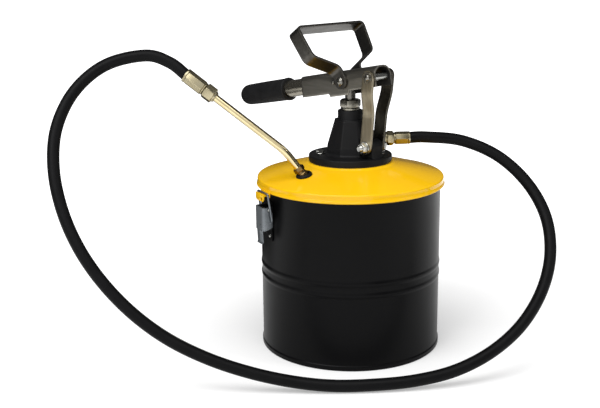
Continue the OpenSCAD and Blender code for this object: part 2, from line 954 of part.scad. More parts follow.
module link_top_pin() {
    head_r = 7;
    head_h = 2.4;
    color("#b5b9bc")
        at_links()
            translate([0, 0, link_l]) {
                bar_y(pin_r, -link_top_out() - 1, link_top_out() + 1);
                for (s = [0, 1])
                    mirror([0, s, 0])
                        bar_y(head_r, link_top_out(), link_top_out() + head_h);
            }
}

module link_spacer() {
    r = pin_r + 1.2;
    hw = channel_hw - channel_t - spacer_gap;
    color("#b9b49a")
        at_links()
            translate([0, 0, link_l])
                difference() {
                    bar_y(r, -hw, hw);
                    bar_y(pin_r + seat, -channel_hw, channel_hw);
                }
}

// The lever's arched section in Y and Z: half width, top and lower edge
function arch(hw, top, low, r) = concat(
    [[-hw, low]],
    arc([-hw + r, top - r], r, 180, 90, 10),
    arc([hw - r, top - r], r, 90, 0, 10),
    [[hw, low]]
);

// An arched bar along X between two places
module arch_bar(hw, top, low, r, x0, x1) {
    translate([x0, 0, 0])
        rotate([90, 0, 90])
            linear_extrude(x1 - x0)
                polygon(arch(hw, top, low, r));
}

module lever_channel() {
    front_low = channel_low + channel_front_drop;
    lobe_low = channel_low + channel_lobe_drop;
    in_hw = channel_hw - channel_t;
    in_top = channel_top - channel_t;
    in_r = channel_corner - channel_t;
    color("#6e6c66")
        at_lever()
            difference() {
                union() {
                    arch_bar(channel_hw, channel_top, -channel_low, channel_corner, channel_lobe_end - 1, channel_rear);
                    arch_bar(channel_hw, channel_top, -front_low, channel_corner, -channel_front, channel_step_x + 1);
                    arch_bar(channel_hw, channel_top, -lobe_low, channel_corner, channel_step_x, channel_lobe_end);
                }
                arch_bar(in_hw, in_top, -2 * channel_low, in_r, -channel_front + channel_end_t, channel_rear + 1);
                translate([-channel_front - 1, 0, 0])
                    rotate([0, 90, 0])
                        cylinder(r = tube_r + seat, h = channel_end_t + 2);
                bar_y(pin_r + seat, -2 * channel_hw, 2 * channel_hw);
                translate([link_pin_x, 0, 0])
                    bar_y(pin_r + run, -2 * channel_hw, 2 * channel_hw);
                translate([stop_x, 0, 0])
                    bar_y(stop_r / 2 + seat, -2 * channel_hw, 2 * channel_hw);
            }
}

module lever_tube() {
    wall = 2;
    x0 = -(grip_start + grip_l - 6);
    color("#8b8574")
        at_lever()
            translate([x0, 0, 0])
                rotate([0, 90, 0])
                    ring(tube_r, tube_r - wall, 0, -tube_in - x0);
}

module lever_grip() {
    dome = grip_r - 1;
    lip_l = 7;
    end_t = 5;
    color("#161616")
        at_lever()
            translate([-grip_start, 0, 0])
                rotate([0, -90, 0])
                    rotate_extrude()
                        polygon(concat(
                            [[tube_r + seat, 0], [grip_lip_r - 1, 0], [grip_lip_r, 1.5], [grip_lip_r, lip_l - 2]],
                            [[grip_r, lip_l], [grip_r, grip_l - dome]],
                            arc([grip_r - dome, grip_l - dome], dome, 0, 90, 10),
                            [[0, grip_l], [0, grip_l - end_t], [tube_r + seat, grip_l - end_t]]
                        ));
}

module rod_pin() {
    y = tab_in + strip_t + free;
    color("#b5b9bc")
        at_lever() {
            bar_y(pin_r, -y - rod_ring_t - rod_pin_end, y + 1);
            hex_y(nut_af, y, y + head_t);
        }
}

module rod_pin_nut() {
    y = tab_in + strip_t + free;
    color("#b5b9bc")
        at_lever()
            difference() {
                bar_y(pin_r + rod_ring_w, -y - rod_ring_t, -y);
                bar_y(pin_r + seat, -y - 2 * rod_ring_t, 0);
            }
}

module handle_stops() {
    color("#9c988c")
        at_lever()
            translate([stop_x, 0, 0])
                for (s = [0, 1])
                    mirror([0, s, 0]) {
                        bar_y(stop_r, channel_hw, channel_hw + stop_out);
                        bar_y(stop_r / 2, channel_hw - channel_t, channel_hw + 1);
                    }
}

// One side of the handle's strip: inner or outer line of the bent strip, from the tab to the bar's middle
function handle_line(d) =
    let (
        tab = tab_in + strip_t / 2,
        p = [[tab, 0], [tab, handle_bend_a], [handle_low_hw, handle_bend_b], [handle_hw, handle_reach], [0, handle_reach]]
    )
    [for (i = [0:len(p) - 1])
        i == 0 ? p[0] + [d, 0] :
        i == len(p) - 1 ? p[i] + [0, d] :
        let (
            u = unit(p[i] - p[i - 1]),
            v = unit(p[i + 1] - p[i]),
            nu = [u[1], -u[0]],
            nv = [v[1], -v[0]]
        )
        p[i] + d * (nu + nv) / (1 + nu * nv)];

module carry_handle() {
    half = strip_t / 2;
    color("#6b6964")
        translate([0, 0, rod_pin_z])
            rotate([0, -handle_lean, 0])
                difference() {
                    union()
                        for (s = [0, 1])
                            mirror([0, s, 0]) {
                                rotate([90, 0, 90])
                                    translate([0, 0, -strip_w / 2])
                                        linear_extrude(strip_w)
                                            polygon(concat(handle_line(half), reversed(handle_line(-half))));
                                bar_y(strip_w / 2, tab_in, tab_in + strip_t);
                            }
                    bar_y(pin_r + run, -handle_hw, handle_hw);
                }
}

module outlet_adapter() {
    nose = adapter_end + 7;
    color("#c6c9c4")
        at_outlet()
            difference() {
                union() {
                    disc(port_r - seat, spring_a - 1, boss_end + 1);
                    hex_bar(adapter_af, boss_end, adapter_end);
                    disc(port_r - 0.5, boss_end, nose);
                }
                disc(chamber_r, spring_a - 2, spring_b);
                disc(passage_r, spring_a - 2, nose + 1);
            }
}

module outlet_ball() {
    color("#d5d8da")
        at_outlet()
            translate([0, 0, outlet_ball_x])
                sphere(r = outlet_ball_r);
}

module outlet_spring() {
    steps = 12 * spring_turns;
    path = [for (i = [0:steps]) [spring_r * cos(30 * i), spring_r * sin(30 * i),
        spring_a + spring_wire_r + (spring_b - spring_a - 2 * spring_wire_r - seat) * i / steps]];
    color("#aeb2b6")
        at_outlet()
            swept(path, spring_wire_r, 6, unit(path[1] - path[0]), unit(path[steps] - path[steps - 1]));
}

module outlet_nut() {
    color("#c9c6a8")
        at_outlet()
            difference() {
                hex_bar(swivel_af, adapter_end + 1, swivel_end);
                disc(port_r - 0.5 + seat, adapter_end, adapter_end + 7 + seat);
                disc(passage_r, adapter_end, swivel_end + 1);
            }
}

module hose_ferrule_near() {
    end = norm([hose_route[0][0], hose_route[0][1]]);
    color("#cfc28a")
        at_outlet()
            disc(ferrule_r, swivel_end, end);
}

module hose() {
    color("#141414")
        swept(smooth_path(hose_route, hose_steps), hose_d / 2, hose_sides, outlet_dir, ext_dir);
}

module hose_ferrule_far() {
    color("#cfc28a")
        along(ext_start, ext_dir)
            disc(far_ferrule_r, 0, ferrule_l);
}

module tube_nut() {
    color("#cfc28a")
        along(ext_start, ext_dir)
            difference() {
                hex_bar(far_nut_af, ferrule_l, ferrule_l + far_nut_l);
                disc(ext_tube_d / 2 + seat, ferrule_l + 2, ferrule_l + far_nut_l + 1);
            }
}

// Direction of the extension tube's lower stretch
function ext_foot_dir() = unit(socket_pt - ext_bend);

module extension_tube() {
    top = ext_start + (ferrule_l + 2 + seat) * ext_dir;
    low = socket_pt - coupler_up * ext_foot_dir();
    color("#b79a4e")
        swept(rounded_path([top, ext_bend, low], ext_bend_reach, 8), ext_tube_d / 2, 16, ext_dir, ext_foot_dir());
}

module tube_coupler() {
    color("#b8a878")
        along(socket_pt, ext_foot_dir())
            disc(coupler_r, -coupler_up, coupler_down);
}

module lid_socket() {
    color("#2c2a26")
        difference() {
            intersection() {
                translate(socket_pt)
                    sphere(r = socket_r);
                translate([socket_pt[0], socket_pt[1], socket_pt[2] - socket_r / 2])
                    cylinder(r = 2 * socket_r, h = 2 * socket_r);
            }
            along(socket_pt, ext_foot_dir())
                disc(coupler_r + seat, -3 * socket_r, 3 * socket_r);
        }
}

bucket_body();
bucket_bottom();
lid();
lid_gasket();
keeper_a();
keeper_b();
latch_base_a();
latch_base_b();
latch_lever_a();
latch_lever_b();
latch_bail_a();
latch_bail_b();
latch_pin_a();
latch_pin_b();
latch_rivets();
pump_head();
flange_gasket();
flange_screws();
flange_nuts();
gland_lock_ring();
gland_nut();
gland_packing();
pump_barrel();
foot_valve();
inlet_ball();
piston_rod();
piston();
piston_seal();
follower_plate();
follower_seal();
link_near();
link_far();
link_bolt();
link_nut();
link_washers();
link_top_pin();
link_spacer();
lever_channel();
lever_tube();
lever_grip();
rod_pin();
rod_pin_nut();
handle_stops();
carry_handle();
outlet_adapter();
outlet_ball();
outlet_spring();
outlet_nut();
hose_ferrule_near();
hose();
hose_ferrule_far();
tube_nut();
extension_tube();
tube_coupler();
lid_socket();
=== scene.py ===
"""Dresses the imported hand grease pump: painted bucket and lid, latches, cast head, lever, links, hose and tube.

Lengths are in millimetres until a mesh is made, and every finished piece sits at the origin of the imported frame.
"""
import json
from math import acos, atan2, cos, degrees, pi, radians, sin

import bmesh
import bpy
from mathutils import Matrix, Vector


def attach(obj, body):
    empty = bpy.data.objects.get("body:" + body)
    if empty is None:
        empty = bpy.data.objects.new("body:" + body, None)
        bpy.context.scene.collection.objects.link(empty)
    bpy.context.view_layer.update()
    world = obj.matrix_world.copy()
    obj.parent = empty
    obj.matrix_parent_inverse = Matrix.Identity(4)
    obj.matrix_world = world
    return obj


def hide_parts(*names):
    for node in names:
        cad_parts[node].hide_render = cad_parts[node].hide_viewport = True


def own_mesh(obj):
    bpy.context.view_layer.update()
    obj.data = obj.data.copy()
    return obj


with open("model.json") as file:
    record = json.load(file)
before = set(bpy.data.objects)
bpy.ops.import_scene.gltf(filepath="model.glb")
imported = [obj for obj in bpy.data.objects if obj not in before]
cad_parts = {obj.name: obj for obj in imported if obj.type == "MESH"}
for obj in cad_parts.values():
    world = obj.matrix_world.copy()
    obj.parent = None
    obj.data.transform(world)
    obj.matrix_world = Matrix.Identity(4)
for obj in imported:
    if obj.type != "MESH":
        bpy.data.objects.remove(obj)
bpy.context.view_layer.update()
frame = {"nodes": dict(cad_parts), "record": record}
NODES = frame["nodes"]
MM = 0.001
scene = bpy.context.scene
scene.view_settings.view_transform = "Standard"

# Main sizes, the same as in the part's source
BUCKET_R, BUCKET_H, SHEET = 117.0, 222.0, 1.0
BEADS, BEAD_W, BEAD_OUT = (98.0, 112.5), 10.0, 0.9
LID_R, LID_TOP, LID_FLAT = 121.0, 244.7, 57.0
LID_CONE_Z, LID_STEP_R = 242.3, 60.5
LID_CORNER, LID_SHOULDER, SHOULDER_TURN = 5.0, 227.6, 75
SKIRT_Z, RIM_OUT, BARREL_WAY_R = 214.3, 1.3, 20.2
FLANGE_Z, FLANGE_TOP, FLANGE_R = 245.7, 253.7, 54.0
SCREW_CIRCLE_R, SCREW_BEARINGS = 39.0, (45, 225)
FOOT_TOP, TAPER_TOP, NECK_TOP = 264.4, 298.8, 310.8
FOOT_HW, TAPER_HW, NECK_R, ROD_R = 29.8, 19.9, 16.1, 5.8
HEAD_CORNER, NECK_BORE_R, OUTLET_BORE_R = 3.2, 10.6, 6.7
GLAND_RING_TOP, GLAND_NUT_Z, GLAND_NUT_TOP, GLAND_NUT_AF = 313.9, 314.0, 324.4, 24.0
ROD_PIN_Z, LEVER_SLOPE, LINK_PIN_X = 348.3, 10.8, 50.0
CHANNEL_HW, CHANNEL_TOP, CHANNEL_LOW, CHANNEL_T = 15.0, 13.5, 12.5, 2.0
CHANNEL_FRONT, CHANNEL_REAR, STEP_X, LOBE_END = 77.5, 58.0, -26.0, 10.0
FRONT_LOW, LOBE_LOW = 13.9, 17.8
TUBE_R, TUBE_START, TUBE_END, GRIP_START, GRIP_L = 11.4, 66.0, 210.0, 118.0, 98.0
LUG_X, LUG_Z, LUG_R, LUG_T = 39.2, 267.7, 9.8, 19.0
LINK_W, LINK_T, LINK_LOW_Y, LINK_TOP_Y, PIN_R = 17.5, 3.5, 9.9, 16.2, 4.0
CRANK_START, CRANK_L, SPACER_HL = 39.0, 36.0, 11.2
WASHER_T, WASHER_R, NUT_AF = 1.6, 8.0, 13.0
STRIP_W, STRIP_T, HANDLE_LEAN, HANDLE_REACH = 20.0, 3.0, 34.0, 77.0
HANDLE_HW, HANDLE_LOW_HW, TAB_Y, STOP_X = 58.0, 53.0, 16.9, -14.14
OUTLET_Z, OUTLET_DIR, OUTLET_REACH = 272.0, Vector((0.6, 0.8, 0.0)), 78.0
SPRING_START, SPRING_END, SPRING_TURNS, SPRING_R, SPRING_WIRE_R = 31.4, 43.4, 5, 3.0, 0.5
HOSE_R, FERRULE_R, FAR_FERRULE_R, FERRULE_L = 7.5, 8.3, 9.3, 30.0
EXT_DIR, EXT_R, EXT_RUN = Vector((0.64, 0.48, -0.6)), 4.75, 156.0
SOCKET_X, SOCKET_Y = 0.4, -81.7
LATCH_ANGLES, LATCH_SHEET = (256.0, 76.0), 1.5
LATCH_PIVOT, BAIL_PIVOT, BAIL_TOP, BAIL_R = (125.0, 196.0), (122.0, 181.0), (127.5, 217.3), 1.3
LATCH_FACE_R, LATCH_WALL_R, LATCH_HW, LATCH_BEND = 132.25, 119.6, 10.75, 2.05
LATCH_LOW, LATCH_HIGH, RIVET_R, RIVET_HEIGHTS = 169.5, 199.5, 118.6, (160, 182)

HOSE_ROUTE = [
    (46.8, 62.4, 272), (60, 80, 272), (90, 117, 266), (129, 143, 247), (167, 156, 215), (199, 153, 177),
    (221, 134, 136), (232, 103, 98), (232, 64, 64), (221, 22, 38), (201, -21, 20), (174, -63, 11),
    (143, -104, 8), (110, -142, 8), (76, -178, 14), (42, -214, 26), (8, -248, 43), (-26, -279, 66),
    (-58, -305, 96), (-89, -325, 132), (-117, -338, 172), (-143, -342, 215), (-165, -337, 261),
    (-180, -321, 306), (-184, -291, 347), (-173, -252, 376), (-148, -210, 386), (-128, -188, 377),
    (-112, -176, 362),
]


# Places

def turn(angle, axis):
    return Matrix.Rotation(radians(angle), 4, axis)


def shift(x, y, z):
    return Matrix.Translation((x, y, z))


def along(point, direction):
    """Z points along the direction, from the point."""
    d = Vector(direction).normalized()
    spin = degrees(atan2(d.y, d.x))
    return shift(*point) @ turn(spin, "Z") @ turn(degrees(acos(d.z)), "Y")


ALONG_Y = turn(-90, "X")
ALONG_GRIP = turn(-90, "Y")
AT_LEVER = shift(0, 0, ROD_PIN_Z) @ turn(-LEVER_SLOPE, "Y")
AT_ROD_PIN = AT_LEVER @ ALONG_Y
LINK_RUN = AT_LEVER @ Vector((LINK_PIN_X, 0, 0)) - Vector((LUG_X, 0, LUG_Z))
LINK_L = LINK_RUN.length
AT_LINKS = shift(LUG_X, 0, LUG_Z) @ turn(degrees(atan2(LINK_RUN.x, LINK_RUN.z)), "Y")
AT_BOLT = AT_LINKS @ ALONG_Y
AT_TOP_PIN = AT_LINKS @ shift(0, 0, LINK_L) @ ALONG_Y
AT_HANDLE = shift(0, 0, ROD_PIN_Z) @ turn(-HANDLE_LEAN, "Y")
AT_OUTLET = along((0, 0, OUTLET_Z), OUTLET_DIR)
EXT_START = Vector(HOSE_ROUTE[-1])
EXT_BEND = EXT_START + EXT_RUN * EXT_DIR
LID_SLOPE = (LID_CONE_Z - LID_SHOULDER) / (LID_R - LID_CORNER - LID_STEP_R)
SOCKET = Vector((SOCKET_X, SOCKET_Y, LID_CONE_Z - (-SOCKET_Y - LID_STEP_R) * LID_SLOPE))
EXT_FOOT = (SOCKET - EXT_BEND).normalized()


# Outlines and shells: a shell is a list of points and a list of faces

def polar(r, a, z):
    """A point by its radius, its bearing in radians and its height."""
    return Vector((r * cos(a), r * sin(a), z))


def bearings(count):
    return [2 * pi * k / count for k in range(count)]


def beside(r, z, *steps):
    """Points at these steps from a radius and a height."""
    return [(r + out, z + up) for out, up in steps]


def eased_ring(inner, outer, z0, z1, edge):
    """The outline of a ring whose outer edges are broken."""
    low, high = beside(outer, z0, (-edge, 0), (0, edge)), beside(outer, z1, (0, -edge), (-edge, 0))
    return [(inner, z0)] + low + high + [(inner, z1)]


def arc(centre, radius, start, end, steps):
    angles = [radians(start + (end - start) * i / steps) for i in range(steps + 1)]
    return [(centre[0] + radius * cos(a), centre[1] + radius * sin(a)) for a in angles]


def round_end(r, stop):
    """Heights and half widths from the tip of a flat bar's round end, up to a bearing in degrees."""
    return [(-r * cos(radians(a)), r * sin(radians(a))) for a in range(6, stop, 7)]


def ease(x, start, end):
    """0 before the start, 1 after the end, and a smooth way between."""
    t = min(max((x - start) / (end - start), 0), 1)
    return t * t * (3 - 2 * t)


def rounded(points, reach, steps):
    """A path whose inner corners are rounded, each by a curve that starts this far from the corner."""
    path = [Vector(p) for p in points]
    line = [path[0]]
    for before, corner, after in zip(path, path[1:], path[2:]):
        a = corner + (before - corner).normalized() * reach
        b = corner + (after - corner).normalized() * reach
        for i in range(steps + 1):
            t = i / steps
            line.append((1 - t) ** 2 * a + 2 * t * (1 - t) * corner + t * t * b)
    return line + [path[-1]]


def smooth_route(points, steps):
    """Catmull-Rom points through a route, as the part's source has them."""
    p = [Vector(v) for v in points]
    line = []
    for i in range(len(p) - 1):
        a, b, c, d = p[max(i - 1, 0)], p[i], p[i + 1], p[min(i + 2, len(p) - 1)]
        for j in range(steps):
            t = j / steps
            line.append(0.5 * (2 * b + (c - a) * t + (2 * a - 5 * b + 4 * c - d) * t * t
                               + (3 * b - a - 3 * c + d) * t ** 3))
    return line + [p[-1]]


def joined(rings):
    """Closed rings of equally many points, joined in a loop from the last ring back to the first."""
    n = len(rings[0])
    faces = []
    for k in range(len(rings)):
        j = (k + 1) % len(rings)
        faces += [(k * n + i, j * n + i, j * n + (i + 1) % n, k * n + (i + 1) % n) for i in range(n)]
    return [p for ring in rings for p in ring], faces


def turned(outline, place=Matrix(), steps=96):
    """A closed outline of radius and height, turned about Z."""
    return joined([[place @ polar(r, a, z) for r, z in outline] for a in bearings(steps)])


def drill(r, z0, z1, place, steps=48):
    """A plain round bar along Z, to cut a hole with."""
    return turned([(0, z0), (r, z0), (r, z1), (0, z1)], place, steps)


def hexagon_bar(across, z0, z1, bore, place=Matrix(), chamfer=0.96, per_side=8, sides=6):
    """A nut or bolt head by its width across flats, with the round chamfers that turning leaves at both ends."""
    chamfer_slope = 0.577
    half = pi / sides
    flat = across / 2
    inner = flat * chamfer
    rings = []
    for a in bearings(sides * per_side):
        r = flat / cos((a % (2 * half)) - half)
        drop = (r - inner) * chamfer_slope
        ring = [(bore, z0), (inner, z0), (r, z0 + drop), (r, z1 - drop), (inner, z1), (bore, z1)]
        rings.append([place @ polar(q, a, z) for q, z in ring])
    return joined(rings)


def plate(outline, y0, y1, place=Matrix()):
    """An outline in X and Z, thick from y0 to y1."""
    n = len(outline)
    points = [place @ Vector((x, y, z)) for y in (y0, y1) for x, z in outline]
    faces = [tuple(range(n)), tuple(range(2 * n - 1, n - 1, -1))]
    faces += [(i, n + i, n + (i + 1) % n, (i + 1) % n) for i in range(n)]
    return points, faces


def sheet_rows(rows, place=Matrix()):
    """A sheet without thickness, from rows of equally many points."""
    n = len(rows[0])
    points = [place @ Vector(p) for row in rows for p in row]
    faces = [(k * n + i, k * n + i + 1, (k + 1) * n + i + 1, (k + 1) * n + i)
             for k in range(len(rows) - 1) for i in range(n - 1)]
    return points, faces


# Pieces

def placed(name, mesh):
    obj = bpy.data.objects.new(name, mesh)
    scene.collection.objects.link(obj)
    return obj


def raw_object(name, shells):
    """One mesh of all the shells, each cleaned by itself."""
    whole = bmesh.new()
    for points, faces in shells:
        part = bmesh.new()
        made = [part.verts.new(Vector(p) * MM) for p in points]
        for f in faces:
            part.faces.new([made[i] for i in f])
        bmesh.ops.remove_doubles(part, verts=part.verts, dist=2e-6)
        bmesh.ops.dissolve_degenerate(part, edges=part.edges, dist=1e-6)
        bmesh.ops.recalc_face_normals(part, faces=part.faces)
        mesh = bpy.data.meshes.new("shell")
        part.to_mesh(mesh)
        part.free()
        whole.from_mesh(mesh)
        bpy.data.meshes.remove(mesh)
    mesh = bpy.data.meshes.new(name)
    whole.to_mesh(mesh)
    whole.free()
    return placed(name, mesh)


def settle(obj):
    """Makes an object's modifiers part of its mesh."""
    graph = bpy.context.evaluated_depsgraph_get()
    ready = obj.evaluated_get(graph)
    mesh = bpy.data.meshes.new_from_object(ready, preserve_all_data_layers=True, depsgraph=graph)
    obj.modifiers.clear()
    obj.data = mesh


def modified(obj, kind, **settings):
    """Adds a modifier with these settings and makes it part of the mesh."""
    change = obj.modifiers.new(kind, kind)
    for label, value in settings.items():
        setattr(change, label, value)
    settle(obj)


def piece(name, shells, slot, replaces=(), body="pump", coat=None, edge_coat=None, thick=0, cuts=(), bevel=0,
          segments=2, crease=35):
    """One finished piece: a sheet gets its thickness, holes are cut, edges are eased, and the eased edges get a
    brighter finish when one is given.
    """
    obj = raw_object(name, shells)
    obj.data.materials.append(coat or SLOT_FINISH[slot])
    if edge_coat:
        obj.data.materials.append(edge_coat)
    if thick:
        modified(obj, "SOLIDIFY", thickness=thick * MM, offset=0, use_even_offset=True)
    for cut in cuts:
        tool = raw_object("cutter", [cut])
        modified(obj, "BOOLEAN", operation="DIFFERENCE", solver="EXACT", object=tool)
        bpy.data.objects.remove(tool)
    if bevel:
        modified(obj, "BEVEL", width=bevel * MM, segments=segments, limit_method="ANGLE",
                 angle_limit=radians(40), material=1 if edge_coat else -1)
    return finished(obj, replaces, body, crease)


def finished(obj, replaces, body, crease):
    """Smooths a piece up to its creases, hangs it under its body's empty and hides the nodes it replaces."""
    obj.data.name = obj.name
    obj.data.shade_smooth()
    obj.data.set_sharp_from_angle(angle=radians(crease))
    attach(obj, body)
    if replaces:
        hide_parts(*replaces)
    return obj


# Node trees

def wire(tree, *links):
    """Links, each given as a node, its output, another node and its input."""
    for source, output, target, socket in links:
        tree.links.new(source.outputs[output], target.inputs[socket])


def added(tree, family, *kinds):
    return [tree.nodes.new(family + kind) for kind in kinds]


def new_sockets(tree, way, sockets):
    for label, kind in sockets:
        tree.interface.new_socket(name=label, in_out=way, socket_type="NodeSocket" + kind)


def new_tree(name, inputs):
    """A Geometry Nodes tree, its input, and the node that realizes its shape before the finish is set."""
    tree = bpy.data.node_groups.new(name, "GeometryNodeTree")
    new_sockets(tree, "INPUT", [("Geometry", "Geometry"), *inputs, ("Finish", "Material")])
    new_sockets(tree, "OUTPUT", [("Geometry", "Geometry")])
    given, out = added(tree, "NodeGroup", "Input", "Output")
    whole, coat = added(tree, "GeometryNode", "RealizeInstances", "SetMaterial")
    wire(tree, (whole, "Geometry", coat, "Geometry"), (given, "Finish", coat, "Material"),
         (coat, "Geometry", out, "Geometry"))
    return tree, given, whole


def round_bar_tree():
    """A round bar along a line of points, with its ends closed and the length along it kept as an attribute."""
    tree, given, whole = new_tree("round_bar_along_a_line", [("Radius", "Float"), ("Sides", "Int")])
    line, span, keep, section, bar = added(tree, "GeometryNode", "MeshToCurve", "SplineParameter",
                                           "StoreNamedAttribute", "CurvePrimitiveCircle", "CurveToMesh")
    keep.data_type = "FLOAT"
    keep.domain = "POINT"
    keep.inputs["Name"].default_value = "along"
    bar.inputs["Fill Caps"].default_value = True
    wire(tree, (given, "Geometry", line, "Mesh"), (line, "Curve", keep, "Geometry"),
         (span, "Length", keep, "Value"), (given, "Sides", section, "Resolution"),
         (given, "Radius", section, "Radius"), (keep, "Geometry", bar, "Curve"),
         (section, "Curve", bar, "Profile Curve"), (bar, "Mesh", whole, "Geometry"))
    return tree


def fastener_tree():
    """One screw or rivet at each point, standing along the point's own direction."""
    tree, given, whole = new_tree("fasteners_at_points", [("Fastener", "Object"), ("Size", "Float")])
    facing, shape, place = added(tree, "GeometryNode", "InputNamedAttribute", "ObjectInfo", "InstanceOnPoints")
    facing.data_type = "FLOAT_VECTOR"
    facing.inputs["Name"].default_value = "facing"
    stand = tree.nodes.new("FunctionNodeAlignRotationToVector")
    stand.axis = "Z"
    wire(tree, (given, "Geometry", place, "Points"), (given, "Fastener", shape, "Object"),
         (shape, "Geometry", place, "Instance"), (facing, "Attribute", stand, "Vector"),
         (stand, "Rotation", place, "Rotation"), (given, "Size", place, "Scale"),
         (place, "Instances", whole, "Geometry"))
    return tree


ROUND_BAR = round_bar_tree()
FASTENERS = fastener_tree()


def grown(obj, tree, values):
    """Runs a tree on an object and keeps its result as a plain mesh."""
    grow = obj.modifiers.new("grow", "NODES")
    grow.node_group = tree
    for socket in tree.interface.items_tree:
        if socket.in_out == "INPUT" and socket.name in values:
            grow[socket.identifier] = values[socket.name]
    settle(obj)


def round_bar(name, line, radius, sides, slot, replaces, body="pump", coat=None):
    mesh = bpy.data.meshes.new(name)
    mesh.from_pydata([Vector(p) * MM for p in line], [(i, i + 1) for i in range(len(line) - 1)], [])
    obj = placed(name, mesh)
    grown(obj, ROUND_BAR, {"Radius": radius * MM, "Sides": sides, "Finish": coat or SLOT_FINISH[slot]})
    bm = bmesh.new()
    bm.from_mesh(obj.data)
    bmesh.ops.recalc_face_normals(bm, faces=bm.faces)
    bm.to_mesh(obj.data)
    bm.free()
    return finished(obj, replaces, body, crease=60)


def fasteners(name, shells, places, slot, replaces, body="pump", coat=None, size=1.0):
    """The same fastener at each place, given as a point and a direction."""
    template = raw_object("fastener_shape", shells)
    mesh = bpy.data.meshes.new(name)
    mesh.from_pydata([Vector(p) * MM for p, _ in places], [], [])
    way = mesh.attributes.new("facing", "FLOAT_VECTOR", "POINT")
    for i, (_, direction) in enumerate(places):
        way.data[i].vector = Vector(direction).normalized()
    obj = placed(name, mesh)
    grown(obj, FASTENERS, {"Fastener": template, "Size": size, "Finish": coat or SLOT_FINISH[slot]})
    bpy.data.objects.remove(template)
    return finished(obj, replaces, body, crease=35)


# Finishes: shared effects are groups, and each finish places them with its own values

def feed(tree, value, socket):
    """Sets a socket to a number, or links another node's output to it."""
    if isinstance(value, (int, float)):
        socket.default_value = value
    else:
        tree.links.new(value, socket)


def noise(tree, vector, scale, detail):
    node = tree.nodes.new("ShaderNodeTexNoise")
    for label, value in (("Vector", vector), ("Scale", scale), ("Detail", detail), ("Roughness", 0.55)):
        feed(tree, value, node.inputs[label])
    return node.outputs["Fac"]


def between(tree, value, low, high, to_low, to_high):
    """A value spread from one range to another; the target ends may be sockets."""
    node = tree.nodes.new("ShaderNodeMapRange")
    node.clamp = True
    for label, end in (("Value", value), ("From Min", low), ("From Max", high), ("To Min", to_low),
                       ("To Max", to_high)):
        feed(tree, end, node.inputs[label])
    return node.outputs["Result"]


def maths(tree, operation, first, second):
    node = tree.nodes.new("ShaderNodeMath")
    node.operation = operation
    tree.links.new(first, node.inputs[0])
    tree.links.new(second, node.inputs[1])
    return node.outputs[0]


def blended(tree, factor, *colours):
    node = tree.nodes.new("ShaderNodeMix")
    node.data_type = "RGBA"
    tree.links.new(factor, node.inputs[0])
    for colour, socket in zip(colours, [socket for socket in node.inputs if socket.type == "RGBA"]):
        tree.links.new(colour, socket)
    return next(socket for socket in node.outputs if socket.type == "RGBA")


def skin_group(name, broad, broad_low, broad_high, grain_detail, distance):
    """Tone that drifts over the surface, a roughness that drifts with it, and a fine grain in relief."""
    tree = bpy.data.node_groups.new(name, "ShaderNodeTree")
    new_sockets(tree, "INPUT", [
        ("Vector", "Vector"), ("Colour", "Color"), ("Second Colour", "Color"), ("Grain Scale", "Float"),
        ("Grain Depth", "Float"), ("Smooth", "Float"), ("Rough", "Float")])
    new_sockets(tree, "OUTPUT", [("Colour", "Color"), ("Roughness", "Float"), ("Normal", "Vector")])
    group_input, group_output = added(tree, "NodeGroup", "Input", "Output")
    given, out = group_input.outputs, group_output.inputs
    drift = noise(tree, given["Vector"], broad, 4.0)
    grain = noise(tree, given["Vector"], given["Grain Scale"], grain_detail)
    tone = between(tree, drift, broad_low, broad_high, 0.0, 1.0)
    gloss = between(tree, drift, 0.3, 0.7, given["Smooth"], given["Rough"])
    tree.links.new(blended(tree, tone, given["Colour"], given["Second Colour"]), out["Colour"])
    tree.links.new(gloss, out["Roughness"])
    relief = tree.nodes.new("ShaderNodeBump")
    for label, value in (("Distance", distance), ("Strength", given["Grain Depth"]), ("Height", grain)):
        feed(tree, value, relief.inputs[label])
    tree.links.new(relief.outputs["Normal"], out["Normal"])
    return tree


PAINT_FILM = skin_group("paint_film", 14.0, 0.35, 0.75, 2.0, 0.0004)
RUBBER_SKIN = skin_group("rubber_skin", 45.0, 0.35, 0.75, 4.0, 0.0004)
PLATED_SKIN = skin_group("plated_skin", 75.0, 0.3, 0.7, 3.0, 0.0002)
DRAWN_STEEL = skin_group("drawn_steel", 4.0, 0.3, 0.7, 2.0, 0.0002)


def srgb(r, g, b):
    """A colour given from 0 to 255, as linear values."""
    lin = [(c / 255 / 12.92) if c <= 10 else ((c / 255 + 0.055) / 1.055) ** 2.4 for c in (r, g, b)]
    return (*lin, 1.0)


def new_material(name):
    """An empty material, its tree and its output node."""
    mat = bpy.data.materials.new(name)
    mat.use_nodes = True
    mat.node_tree.nodes.clear()
    return mat, mat.node_tree, mat.node_tree.nodes.new("ShaderNodeOutputMaterial")


def finish(name, skin, colour, second, grain, depth, smooth, rough, turned_by=None, stretched=None, **sockets):
    """A Principled material whose colour, roughness and relief come from one of the skins."""
    mat, tree, out = new_material(name)
    surface, spot, film = added(tree, "ShaderNode", "BsdfPrincipled", "TexCoord", "Group")
    film.node_tree = skin
    if stretched:
        fit = tree.nodes.new("ShaderNodeMapping")
        fit.inputs["Rotation"].default_value = [radians(a) for a in turned_by]
        fit.inputs["Scale"].default_value = stretched
        wire(tree, (spot, "Object", fit, "Vector"), (fit, "Vector", film, "Vector"))
    else:
        wire(tree, (spot, "Object", film, "Vector"))
    for label, value in (("Colour", srgb(*colour)), ("Second Colour", srgb(*second)), ("Grain Scale", grain),
                         ("Grain Depth", depth), ("Smooth", smooth), ("Rough", rough)):
        film.inputs[label].default_value = value
    wire(tree, (film, "Colour", surface, "Base Color"), (film, "Roughness", surface, "Roughness"),
         (film, "Normal", surface, "Normal"), (surface, "BSDF", out, "Surface"))
    for label, value in sockets.items():
        surface.inputs[label.replace("_", " ")].default_value = value
    return mat


